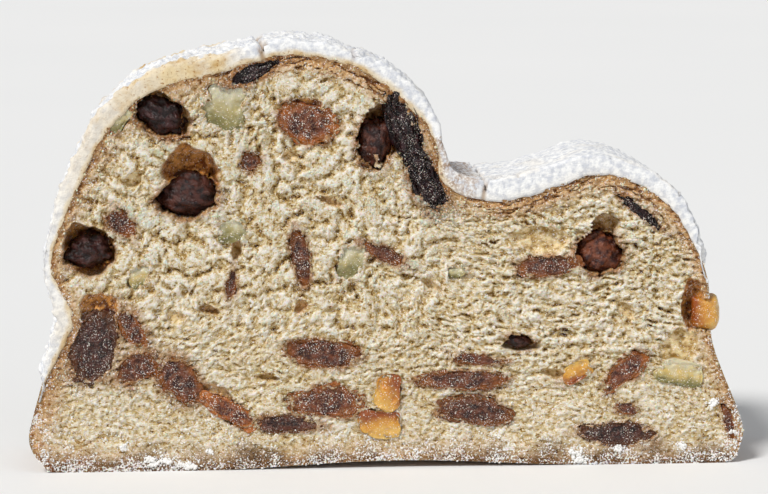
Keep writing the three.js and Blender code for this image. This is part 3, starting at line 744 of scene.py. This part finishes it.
def small_balls(name, at, way, radius, luck, stretch, fields=None):
    """Many small uneven balls as one mesh. The unit ball is a grid of rings and two poles, and each
    copy is that times its radius and its own stretch, at its place and a little along its way."""
    rings, around = BALL_GRID
    v = np.pi * np.arange(1, rings + 1)[:, None] / (rings + 1)
    u = 2 * np.pi * np.arange(around)[None] / around
    grid = np.stack([np.sin(v) * np.cos(u), np.sin(v) * np.sin(u), np.cos(v) + 0 * u], axis=-1)
    ball = np.concatenate([grid.reshape(-1, 3), [[0, 0, 1], [0, 0, -1]]])
    cells = sheet_faces(rings, around, closed=True)[:, ::-1]
    ring = np.arange(around)
    after, last = np.roll(ring, -1), (rings - 1) * around
    top = np.stack([ring, after, 0 * ring + rings * around], axis=1)
    bottom = np.stack([last + after, last + ring, 0 * ring + rings * around + 1], axis=1)
    corners = np.concatenate([cells[:, [0, 1, 2]], cells[:, [0, 2, 3]], top, bottom])
    uneven = 1 + 0.4 * (luck.random((len(at), len(ball), 1)) - 0.5)
    drawn = 1 + stretch * (luck.random((len(at), 1, 3)) - 0.5)
    balls = ball[None] * uneven * drawn * radius[:, None, None]
    points = (at + way * 0.35 * radius[:, None])[:, None] + balls
    points[..., 1] = np.clip(points[..., 1], -FACE - BALLS_PROUD, FACE + BALLS_PROUD)
    faces = corners[None] + (np.arange(len(at)) * len(ball))[:, None, None]
    shade = {key: np.repeat(rows, len(ball)) for key, rows in (fields or {}).items()}
    return build(name, points.reshape(-1, 3), faces.reshape(-1, 3), None, shade)


def torn_crumbs():
    """Flakes on the raised places of both cuts, in tufts, most of them in the hump and round fruit.
    Those that hang by fruit have soaked up its juice."""
    luck = np.random.default_rng(55)
    places, ways, looks = crumb_skin(("open", "film", "halo", "crust"))
    _, y, z = places.T
    raised = ramp(looks["open"], LEVEL + 0.05, LEVEL - 0.3) + 0.5 * looks["halo"]
    tufted = ramp(grain(places, 4.5, 82) + 0.6 * grain(places, 1.6, 83), -0.1, 0.5)
    bare = (np.abs(y) > FACE - 1.1) & (z > 4) & (looks["film"] < 0.4)
    weight = bare * raised * (0.12 + tufted) * (0.5 + ramp(z, 26, 44)) * (1 - 0.8 * looks["crust"])
    weight = weight * np.where(y < 0, 1.0, 0.35)
    chosen = luck.choice(len(places), TORN, p=weight / weight.sum())
    radius = 0.07 + 0.17 * luck.random(TORN) ** 1.8
    soaked = {"halo": looks["halo"][chosen] * (0.4 + 0.5 * luck.random(TORN))}
    return small_balls("torn_crumbs", places[chosen], ways[chosen], radius, luck, 1.1, soaked)


def dry_crumb():
    """Dried yeast crumb: matt, cream to nearly white, brown where juice has soaked in."""
    made, shader, place, field = material("dried_yeast_crumb", ["halo"])
    inputs = {"Vector": place, "Scale": 1 / (1.1 * MM), "Detail": 3.0}
    cloud = add(shader, "TexNoise", "Fac", inputs)
    between = {"Value": cloud, "From Min": 0.35, "From Max": 0.62}
    spread = add(shader, "MapRange", "Result", between)
    tones = {"Factor": spread, "A": linear("#d3c197"), "B": linear("#ece5d6")}
    tone = add(shader, "Mix", "Result", tones, data_type="RGBA")
    soaked = {"Factor": field["halo"], "A": tone, "B": linear("#8a5a2f")}
    tone = add(shader, "Mix", "Result", soaked, data_type="RGBA")
    wire(shader, {"Base Color": tone, "Roughness": 0.9, "Specular IOR Level": 0.3,
                  "Subsurface Weight": 0.4, "Subsurface Scale": 0.5 * MM})
    return made


flakes = torn_crumbs()
flakes.data.materials.append(dry_crumb())
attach(flakes, "root")

# ------------------------------------------------------------------ the sugar coat
# Melted butter and sugar brushed on the warm loaf, then buried in icing sugar: a crust two to four
# millimetres thick, cut clean and creamy at the knife's edge, rough and cracked on the outside. It is
# a closed profile, from cut to cut and back underneath, carried along the dough's outline.
COAT_STATIONS = 640
COAT_TUCK = 0.35  # how far the coat reaches into the crust, millimetres
COAT_PROUD = 0.3  # most that the coat's cut edge stands out of its cut, millimetres
ACROSS = np.linspace(-1, 1, 72)  # places across the coat's outside, from cut to cut
UP_THE_EDGE = np.linspace(0, 1, 9)[:-1]  # places up the coat's cut edge, from the crust outwards
CRACKS = [  # where the coat has split across: x, half width and share of the coat's depth
    (16.4, 0.32, 0.5),
    (-21.6, 0.35, 0.6),
    (-6.5, 0.25, 0.2),
]


def close_ends(name, grid, shade):
    """A grid of rings, closed by a fan of triangles to a point in the middle of each end ring."""
    rings, around = grid.shape[:2]
    points = np.concatenate([grid.reshape(-1, 3), grid[[0, -1]].mean(1)])
    ring = np.arange(around)
    after, last = np.roll(ring, -1), (rings - 1) * around
    first_fan = np.stack([after, ring, 0 * ring + rings * around], axis=1)
    last_fan = np.stack([last + ring, last + after, 0 * ring + rings * around + 1], axis=1)
    shade = {key: np.append(field.ravel(), field[[0, -1]].mean(1)) for key, field in shade.items()}
    faces = sheet_faces(rings, around, closed=True)
    return build(name, points, faces, None, shade, fans=(first_fan, last_fan))


def coat_places():
    """The outline's points that the coat lies on, how thick it is there, how many outline points it
    is to the coat's end, and the way outwards. The thickness is the distance of the CAD coat's outer
    corners at the cut from the outline."""
    edge = node_points("sugar_coat")
    edge = edge[np.abs(edge[:, 1] + FACE) < 0.01][:, [0, 2]]
    away = np.hypot(edge[:, None, 0] - OUTLINE[:, 0], edge[:, None, 1] - OUTLINE[:, 1])
    nearest, distance = away.argmin(1), away.min(1)
    tallest = np.max(distance * (np.abs(nearest - nearest[:, None]) < 12), axis=1)
    outer = (distance > COAT_TUCK) & (distance > 0.75 * tallest)
    order = np.argsort(nearest[outer])
    place = np.linspace(nearest.min(), nearest.max(), COAT_STATIONS)
    thick = np.interp(place, nearest[outer][order], distance[outer][order])
    ends = np.minimum(place - place[0], place[-1] - place)
    steps = np.arange(len(OUTLINE))
    line = np.stack([np.interp(place, steps, OUTLINE[:, k]) for k in (0, 1)], axis=1)
    ahead = np.gradient(line, axis=0)
    kernel = np.hanning(19) / np.hanning(19).sum()
    ahead = np.stack([np.convolve(np.pad(ahead[:, k], 9, "edge"), kernel, "valid") for k in (0, 1)], axis=1)
    ahead /= np.linalg.norm(ahead, axis=1, keepdims=True)
    return line, thick[:, None], ends[:, None], np.stack([-ahead[:, 1], ahead[:, 0]], axis=1)


def sugar_coat():
    """The coat's mesh. Round the profile, the lift above the crust goes from the tuck up to the
    coat's thickness at each cut and stays there across the outside. The outside gets lumps and
    crystals, rougher on the crown than in the fold, and cracks are narrow dips right across."""
    line, thick, ends, outward = coat_places()
    under = np.linspace(1, -1, 6)[1:-1]
    across = np.concatenate([0 * UP_THE_EDGE - 1, ACROSS, 0 * UP_THE_EDGE + 1, under])
    share = np.concatenate([UP_THE_EDGE, 0 * ACROSS + 1, UP_THE_EDGE[::-1], 0 * under])
    outside = np.concatenate([0 * UP_THE_EDGE, 0 * ACROSS + 1, 0 * UP_THE_EDGE, 0 * under])
    y = np.broadcast_to(across * FACE, (COAT_STATIONS, len(across)))
    x, z = line[:, :1], line[:, 1:]
    p = np.stack([x + 0 * y, y, z + 0 * y], axis=-1)
    rough = 0.35 + 0.65 * ramp(x, 6, -2) + 0.25 * ramp(x, 36, 44)
    lumps = 0.6 * np.abs(grain(p, 3.4, 41)) + 0.42 * grain(p, 1.5, 42) + 0.4 * grain(p, 0.75, 43)
    slow = 0.5 * grain(p, 8, 44) + 0.3 * rough * grain(p, 5, 58)
    crack = np.zeros_like(y)
    for at, half, deep in CRACKS:
        stray = 1.1 * grain(p, 3.1, at) + 0.4 * grain(p, 1.0, at + 1)
        crack = np.maximum(crack, deep * ramp(np.abs(x + stray * outside - at), 2 * half, 0.3 * half))
    cracked_net = ramp(np.abs(grain(p, 4.2, 45)), 0.07, 0.0) * ramp(grain(p, 9, 46), 0.1, 0.4)
    crack = np.maximum(crack, 0.25 * cracked_net * outside)
    tuck = COAT_TUCK * (1 + 0.8 * grain(p, 2.0, 47))
    ragged = ramp(ends + 34 * grain(p, 4.0, 60) + 16 * grain(p, 1.5, 61), 6, 42)
    thick = thick * ragged - 0.3 * (1 - ragged)
    relief = (slow + rough * lumps) * np.clip(thick / 2, 0, 1)
    lift = -tuck + share * (tuck + thick + relief * (0.3 + 0.7 * outside))
    lift = lift - crack * thick * share**2
    at_cut = (share > 0) & (outside == 0)
    lift = lift - 0.25 * (1 - np.clip((1 - np.abs(y) / FACE) / 0.02, 0, 1)) * outside
    crystals = 0.16 * np.abs(grain(p, 1.1, 56)) + 0.12 * grain(p, 0.6, 57)
    crystals = crystals * ramp(share, 0.35, 0.7) * ramp(x, 12, 6)
    proud = 0.04 + 0.07 * grain(p, 2.5, 48) + 0.05 * grain(p, 0.8, 49) + crystals - 0.5 * crack
    proud = np.minimum(proud, COAT_PROUD)
    depth = np.where(at_cut, FACE + proud * np.sin(np.pi * np.clip(share, 0, 1)), FACE - 0.12 * (share == 0))
    y = np.where(np.abs(y) >= FACE - 1e-6, np.sign(y) * depth, y)
    points = np.stack([x + lift * outward[:, :1], y, z + lift * outward[:, 1:]], axis=-1)
    left = ramp(x, -22, -30) * ramp(x, -62, -50) * (1 - 0.45 * ramp(x, -42, -47))
    inner = 1 - ramp(share + 0.15 * grain(p, 2.0, 50), 0.1, 0.55)
    hump = 0.15 + 0.85 * ramp(x, 14, 8)
    soaked = left * (0.85 + 0.4 * grain(p, 3.0, 53)) * ramp(share + 0.3 * grain(p, 1.6, 54), 1.35, 0.85)
    over = ramp(np.abs(y) + 1.5 * grain(p, 1.7, 55), FACE - 2.6, FACE - 0.8) * left * 0.8
    faint = 0.15 * ramp(grain(p, 5, 51), 0.1, 0.6)
    butter = np.where(outside > 0, np.maximum(faint, over), np.maximum(0.8 * inner * hump, soaked))
    dusty = ramp(x, 15.6, 14.5) * ramp(x, 5, 9) * (z < 58)
    # crack also sets the coat's painted shade in its cracks
    looks = {"butter": butter, "dusty": dusty * (0.6 + 0.4 * grain(p, 1.5, 52)), "crack": crack * 1.6}
    return close_ends("icing_coat", points, looks)


def caked_sugar():
    """Icing sugar caked with butter: matt white in bright patches over a bluish grey that is painted shade of
    its rough crystals, slightly translucent, grainy, cream to tan where the butter has come through, with
    brown specks of crust in it and painted shade in its cracks."""
    made, shader, place, field = material("caked_icing_sugar", ("butter", "dusty", "crack"))
    noise = {}
    for size_mm, detail in ((2.2, 4.0), (0.9, 4.0), (0.5, 3.0), (0.3, 3.0)):
        inputs = {"Vector": place, "Scale": 1 / (size_mm * MM), "Detail": detail}
        noise[size_mm] = add(shader, "TexNoise", "Fac", inputs)
    share = {}
    for key, source, low, high in (
        ("bright", noise[0.9], 0.36, 0.6),
        ("mottle", noise[2.2], 0.48, 0.66),
        ("specks", noise[0.5], 0.58, 0.68),
        ("soaked", field["butter"], 0.3, 0.9),
        ("bare", noise[0.5], 0.4, 0.56),
    ):
        between = {"Value": source, "From Min": low, "From Max": high}
        share[key] = add(shader, "MapRange", "Result", between)
    for key, by in (("mottle", share["soaked"]), ("specks", share["soaked"]), ("bare", field["dusty"])):
        product = {0: share[key], 1: by}
        share[key] = add(shader, "Math", "Value", product, operation="MULTIPLY")
    # the bluish grey where the bright patches thin out is painted shade of the rough crystals
    tone = linear("#d2d5dc")
    for factor, colour in (
        (share["bright"], "#f8f8f7"),
        (field["butter"], "#e3cea4"),
        (share["mottle"], "#c9a66e"),
        (share["specks"], "#a97b43"),
        (share["bare"], "#9c7854"),
        # the cracks' tone is painted shade
        (field["crack"], "#a58a6c"),
    ):
        covered = {"Factor": factor, "A": tone, "B": linear(colour)}
        tone = add(shader, "Mix", "Result", covered, data_type="RGBA")
    bumps = {"Strength": 0.7, "Distance": 0.25 * MM, "Height": noise[0.3]}
    normal = add(shader, "Bump", "Normal", bumps)
    wire(shader, {"Base Color": tone, "Roughness": 0.85, "Normal": normal, "Specular IOR Level": 0.3})
    return made


coat = sugar_coat()
coat.data.materials.append(caked_sugar())
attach(coat, "root")
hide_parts("sugar_coat")

# ------------------------------------------------------------------ raisins
# Dried grapes that have swollen a little in the dough. A whole one is dark, glossy and deeply
# wrinkled along its length; a sliced one shows its redder, grainy, moist flesh, clear at its rim.
RIPE = {  # how red a raisin's flesh is, from 0, black, to 1, orange-brown; others are in between
    "raisin_01": 0.0, "raisin_02": 0.08, "raisin_03": 0.2, "raisin_04": 0.75, "raisin_05": 0.3,
    "raisin_06": 0.0, "raisin_07": 0.0, "raisin_08": 0.12, "raisin_14": 0.18, "raisin_15": 0.6,
    "raisin_18": 0.95, "raisin_19": 0.3, "raisin_20": 0.55, "raisin_21": 0.65, "raisin_24": 0.4,
    "raisin_26": 0.6, "raisin_27": 0.0, "raisin_28": 0.2, "raisin_29": 0.7, "raisin_31": 0.2,
}
AROUND = 84  # points round a fruit
TIP_TO_TIP = 52  # points along it
BLACK = 0.05  # a raisin less red than this is dry and slack, and deeply pleated
FRUIT_PROUD = 0.15  # most that a sliced fruit stands out of its cut, millimetres


def fruit_body(f):
    """A ball's grid, squared up by the fruit's corner power, swollen by its lobes and stretched to its
    half sizes, with its poles at the fruit's tips. A sliced one is a little wider, to be buried in the
    crumb. Returns its places along, behind and up, in millimetres from its middle, and the ways out."""
    v = np.linspace(0, np.pi, TIP_TO_TIP)[1:-1, None]
    u = np.linspace(0, 2 * np.pi, AROUND, endpoint=False)[None]
    ball = np.stack([np.cos(v) + 0 * u, np.sin(v) * np.cos(u), np.sin(v) * np.sin(u)], axis=-1)
    power = 2 / f["corner"]
    shape = np.sign(ball) * np.abs(ball) ** power
    wave = lobe_wave(np.arctan2(shape[..., 2], shape[..., 0]), f["seed"])
    swell = 1 + LOBES * wave * np.hypot(shape[..., 0], shape[..., 2])
    buried = 1.0 if f["whole"] else 1.12
    half = np.array([buried * f["half"][0], f["thick"], buried * f["half"][1]])
    body = shape * half * np.stack([swell, 1 + 0 * swell, swell], axis=-1)
    outward = ball / half
    outward /= np.linalg.norm(outward, axis=-1, keepdims=True)
    return body, outward


def set_in(f, body, cut, soft):
    """A fruit's body at its place, turned by its tilt and moved behind its cut. Unless it is whole,
    what lies before its cut face is pressed back to it, eased over soft millimetres each way. Returns
    its points, and how far each is pressed, from 0 to 1."""
    middle = (f["near"] + f["far"]) / 2 if f["whole"] else SLICED_BEHIND * f["thick"]
    behind = middle - body[..., 1]
    pressed = 0 * behind if f["whole"] else ramp(cut - behind, -soft, soft)
    behind = behind * (1 - pressed) + cut * pressed
    c, s = np.cos(f["tilt"]), np.sin(f["tilt"])
    x = f["at"][0] + c * body[..., 0] - s * body[..., 2]
    z = f["at"][1] + s * body[..., 0] + c * body[..., 2]
    return np.stack([x, f["side"] * (FACE - behind), z], axis=-1), pressed


def raisin(f):
    """A raisin. Its skin is the body less folds: the size of two noises drawn out along it, so that
    the folds are round and the creases between them sharp. A cut face is grainy instead."""
    body, outward = fruit_body(f)
    p = body + f["seed"] * 7.7
    folds = np.abs(grain(p, (4.6, 1.7, 1.7), 61)) + 0.45 * np.abs(grain(p, (2.0, 0.9, 0.9), 62))
    size = min(1.0, f["half"][1] / 2.5)
    body = body + outward * (size * 1.1 * (folds - 0.35))[..., None]
    ripe = RIPE.get(f["name"], 0.52)
    grains = 0.3 * grain(p, 1.1, 63) + 0.18 * grain(p, 0.55, 64)
    slack = 2.2 if ripe < BLACK else 0.4
    pleats = slack * (np.abs(grain(p, (5.0, 1.6, 1.6), 65)) - 0.2)
    cut = np.maximum(0.6 - 1.15 * (grains + pleats) * size, -FRUIT_PROUD)
    placed, pressed = set_in(f, body, cut, 0.5)
    rim = np.hypot(body[..., 0] / f["half"][0], body[..., 2] / f["half"][1])
    clear = ramp(rim + 0.3 * grain(p, 1.3, 66), 0.6, 1.05) * pressed
    looks = {"ripe": 0 * rim + ripe, "cut": pressed, "rim": clear}
    return close_ends(f["name"] + "_flesh", placed, looks)


def raisin_flesh():
    """Moist dried grape: near black to red-brown, grainy and clear at a cut, glossy, with fine
    wrinkles that glint, and white specks that are partly sugar come out on it and partly painted glints."""
    made, shader, place, field = material("dried_grape", ("ripe", "rim", "cut"))
    share = {"cut": field["cut"], "rim": field["rim"]}
    for key, size_mm, detail, low, high, most in (
        ("cloud", 1.3, 3.0, 0.4, 0.62, 1.0),
        ("pips", 0.32, 2.0, 0.54, 0.68, 0.7),
        # sugar: white specks, partly sugar and partly painted glints
        ("sugar", 0.22, 0.5, 0.61, 0.68, 1.0),
        ("patch", 2.3, 2.0, 0.38, 0.58, 1.0),
    ):
        inputs = {"Vector": place, "Scale": 1 / (size_mm * MM), "Detail": detail}
        source = add(shader, "TexNoise", "Fac", inputs)
        between = {"Value": source, "From Min": low, "From Max": high, "To Max": most}
        share[key] = add(shader, "MapRange", "Result", between)
    for key, by in (("patch", "cut"), ("pips", "cut"), ("sugar", "patch")):
        product = {0: share[key], 1: share[by]}
        share[key] = add(shader, "Math", "Value", product, operation="MULTIPLY")
    tone = {}
    for key, black, brown in (  # each thing's colour on a black raisin, and on a brown one
        ("deep", "#0a0405", "#431710"),
        ("cloud", "#30141a", "#93502c"),
        ("rim", "#150706", "#b8681f"),
        ("pips", "#4f332f", "#b0825c"),
        # the specks' colour, partly painted glints
        ("sugar", "#cfc6bd", "#e9e1d6"),
    ):
        tones = {"Factor": field["ripe"], "A": linear(black), "B": linear(brown)}
        tone[key] = add(shader, "Mix", "Result", tones, data_type="RGBA")
    seen = tone["deep"]
    for key in ("cloud", "rim", "pips", "sugar"):
        covered = {"Factor": share[key], "A": seen, "B": tone[key]}
        seen = add(shader, "Mix", "Result", covered, data_type="RGBA")
    inputs = {"Vector": place, "Scale": 1 / (0.36 * MM), "Detail": 3.0}
    wrinkles = add(shader, "TexNoise", "Fac", inputs)
    bumps = {"Strength": 1.0, "Distance": 0.35 * MM, "Height": wrinkles}
    normal = add(shader, "Bump", "Normal", bumps)
    wire(shader, {"Base Color": seen, "Roughness": 0.22, "Normal": normal, "Specular IOR Level": 0.42,
                  "Subsurface Weight": 0.2, "Subsurface Scale": 0.8 * MM,
                  "Subsurface Radius": (1.0, 0.35, 0.15)})
    return made


RAISIN_FLESH = raisin_flesh()
for fruit in (f for f in FRUITS if f["name"].startswith("raisin")):
    made = raisin(fruit)
    made.data.materials.append(RAISIN_FLESH)
    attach(made, "root")
    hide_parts(fruit["name"])

# ------------------------------------------------------------------ candied peel
# Orange and citron peel boiled in syrup and diced: clear, moist and soft, with rounded corners. The
# citron is grey-green to pale yellow, the orange is yellow inside and deep orange towards its rind.
YELLOW = {"citron_2": 0.1, "citron_3": 0.25, "citron_4": 0.95, "citron_6": 1.0, "citron_7": 0.4,
          "orange_peel_1": 0.5, "orange_peel_3": 0.45, "orange_peel_4": 0.9}
RIND_TO = {"orange_peel_1": 180, "orange_peel_2": 40, "orange_peel_3": 95}  # else it is underneath


def die_of_peel(f):
    """A die of peel: a squared-up ball with soft dents, pressed flat where the knife cut it."""
    body, outward = fruit_body(f)
    p = body + f["seed"] * 5.1
    dents = 0.35 * grain(p, 2.6, 71) + 0.12 * grain(p, 1.1, 72)
    body = body + outward * dents[..., None]
    cut = 0.36 + 0.3 * grain(p, 2.2, 73) + 0.26 * grain(p, 0.9, 74)
    placed, _ = set_in(f, body, cut, 0.4)
    turn = np.radians(RIND_TO.get(f["name"], 270)) - f["tilt"]
    across = np.cos(turn) * body[..., 0] / f["half"][0] + np.sin(turn) * body[..., 2] / f["half"][1]
    across = 0.5 + 0.5 * across
    looks = {"yellow": 0 * across + YELLOW.get(f["name"], 0.2), "rind": across}
    return close_ends(f["name"] + "_die", placed, looks)


def candied(name, flesh, yellow, pale, rind):
    """Candied peel: light enters it and comes out coloured, palest at the pith and deepest at the
    rind, over a moist smooth surface with a few grains of sugar."""
    made, shader, place, field = material(name, ("yellow", "rind"))
    noise = {}
    sizes = ("cloud", 2.6, 3.0), ("soft", 1.2, 2.0), ("fine", 0.6, 3.0), ("sugar", 0.24, 0.5)
    for key, size_mm, detail in sizes:
        inputs = {"Vector": place, "Scale": 1 / (size_mm * MM), "Detail": detail}
        noise[key] = add(shader, "TexNoise", "Fac", inputs)
    outer = add(shader, "Math", "Value", {0: noise["cloud"], 1: field["rind"]}, operation="ADD")
    tone = linear(flesh)
    for source, low, high, most, colour in (
        (field["yellow"], 0.0, 1.0, 1.0, yellow),
        (noise["soft"], 0.42, 0.62, 0.5, pale),
        (outer, 0.95, 0.6, 0.85, pale),
        (outer, 1.0, 1.4, 1.0, rind),
        (noise["sugar"], 0.66, 0.72, 0.85, "#efe9dd"),
    ):
        between = {"Value": source, "From Min": low, "From Max": high, "To Max": most}
        share = add(shader, "MapRange", "Result", between)
        covered = {"Factor": share, "A": tone, "B": linear(colour)}
        tone = add(shader, "Mix", "Result", covered, data_type="RGBA")
    bumps = {"Strength": 0.9, "Distance": 0.3 * MM, "Height": noise["fine"]}
    normal = add(shader, "Bump", "Normal", bumps)
    wire(shader, {"Base Color": tone, "Roughness": 0.3, "Normal": normal, "Coat Weight": 0.3,
                  "Coat Roughness": 0.12, "Subsurface Weight": 0.45, "Subsurface Scale": 1.5 * MM,
                  "Subsurface Radius": (1.0, 0.66, 0.3)})
    return made


CITRON = candied("candied_citron", "#a89f70", "#d6b96e", "#cfc9ae", "#7f7743")
ORANGE = candied("candied_orange_peel", "#c67c1c", "#d89f38", "#deb15c", "#944a0e")
for fruit in (f for f in FRUITS if not f["name"].startswith("raisin")):
    citron = fruit["name"].startswith("citron")
    made = die_of_peel(fruit)
    made.data.materials.append(CITRON if citron else ORANGE)
    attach(made, "root")
    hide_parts(fruit["name"])

# ------------------------------------------------------------------ loose icing sugar
# Icing sugar that has fallen from the coat: fine grains on the lower crumb and crust, thickest along
# the base, and damp lumps stuck together here and there. Each grain is an uneven ball, on the
# surface that it fell on.
GRAINS = 3600
LUMPS = [  # damp lumps at the front cut: x, z and radius in millimetres, from the base's middle
    (33.5, 1.9, 1.5), (40.5, 2.7, 0.9), (51.9, 3.2, 0.6), (57.2, 10.9, 0.9), (60.6, 5.5, 0.7),
    (-40.5, 1.5, 1.7), (-35.2, 0.9, 1.3), (-31.5, 3.4, 0.5), (5.1, 2.4, 0.8), (-46.0, 4.2, 0.5),
]


def loose_sugar():
    """Grains over the lower cuts and the crust, most along the base, and the damp lumps: each lump is
    grains round one place, larger ones in its middle."""
    luck = np.random.default_rng(77)
    places, ways, _ = crumb_skin()
    x, y, z = places.T
    at_cut = np.abs(y) > FACE - CUT_BAND
    weight = 0.06 * ramp(z, 34, 12) + 0.3 * ramp(z, 9, 2) + 0.6 * ramp(z, 3.5, 0.8)
    weight = weight * np.where(at_cut, 1, 7) + 1.2 * ramp(np.abs(x), 56, 61) * ramp(z, 30, 18)
    weight = weight * (0.08 + ramp(grain(places, 5, 81), 0.0, 0.5))
    chosen = luck.choice(len(places), GRAINS, p=weight / weight.sum())
    at, way = [places[chosen]], [ways[chosen]]
    radius = [0.05 + 0.14 * luck.random(GRAINS) ** 2.5]
    front = y < CUT_BAND - FACE
    lumpy = 0.9 * grain(places, 1.5, 84)
    for lump_x, lump_z, spread in LUMPS:
        away = np.hypot(0.7 * (x - lump_x), z - lump_z) / spread + lumpy
        for share, low, high in ((0.55, 0.14, 0.32), (1.0, 0.06, 0.2)):
            inner = np.flatnonzero(front & (away < share))
            picked = luck.choice(inner, int(36 * spread**1.5) + 6 if len(inner) else 0)
            at.append(places[picked])
            way.append(ways[picked])
            radius.append(low + (high - low) * luck.random(len(picked)))
    at, way, radius = (np.concatenate(rows) for rows in (at, way, radius))
    at[:, 2] = np.maximum(at[:, 2], radius + 0.05)
    return small_balls("loose_icing_sugar", at, way, radius, luck, 0.5)


def dry_sugar():
    """Dry icing sugar: bright matt white, a little translucent, so that its lumps have soft shade."""
    made, shader, place, _ = material("dry_icing_sugar")
    inputs = {"Vector": place, "Scale": 1 / (1.5 * MM), "Detail": 3.0}
    cloud = add(shader, "TexNoise", "Fac", inputs)
    tones = {"Factor": cloud, "A": linear("#f1eeea"), "B": linear("#fbfbfa")}
    tone = add(shader, "Mix", "Result", tones, data_type="RGBA")
    wire(shader, {"Base Color": tone, "Roughness": 0.8, "Specular IOR Level": 0.4})
    return made


sugar = loose_sugar()
sugar.data.materials.append(dry_sugar())
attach(sugar, "root")
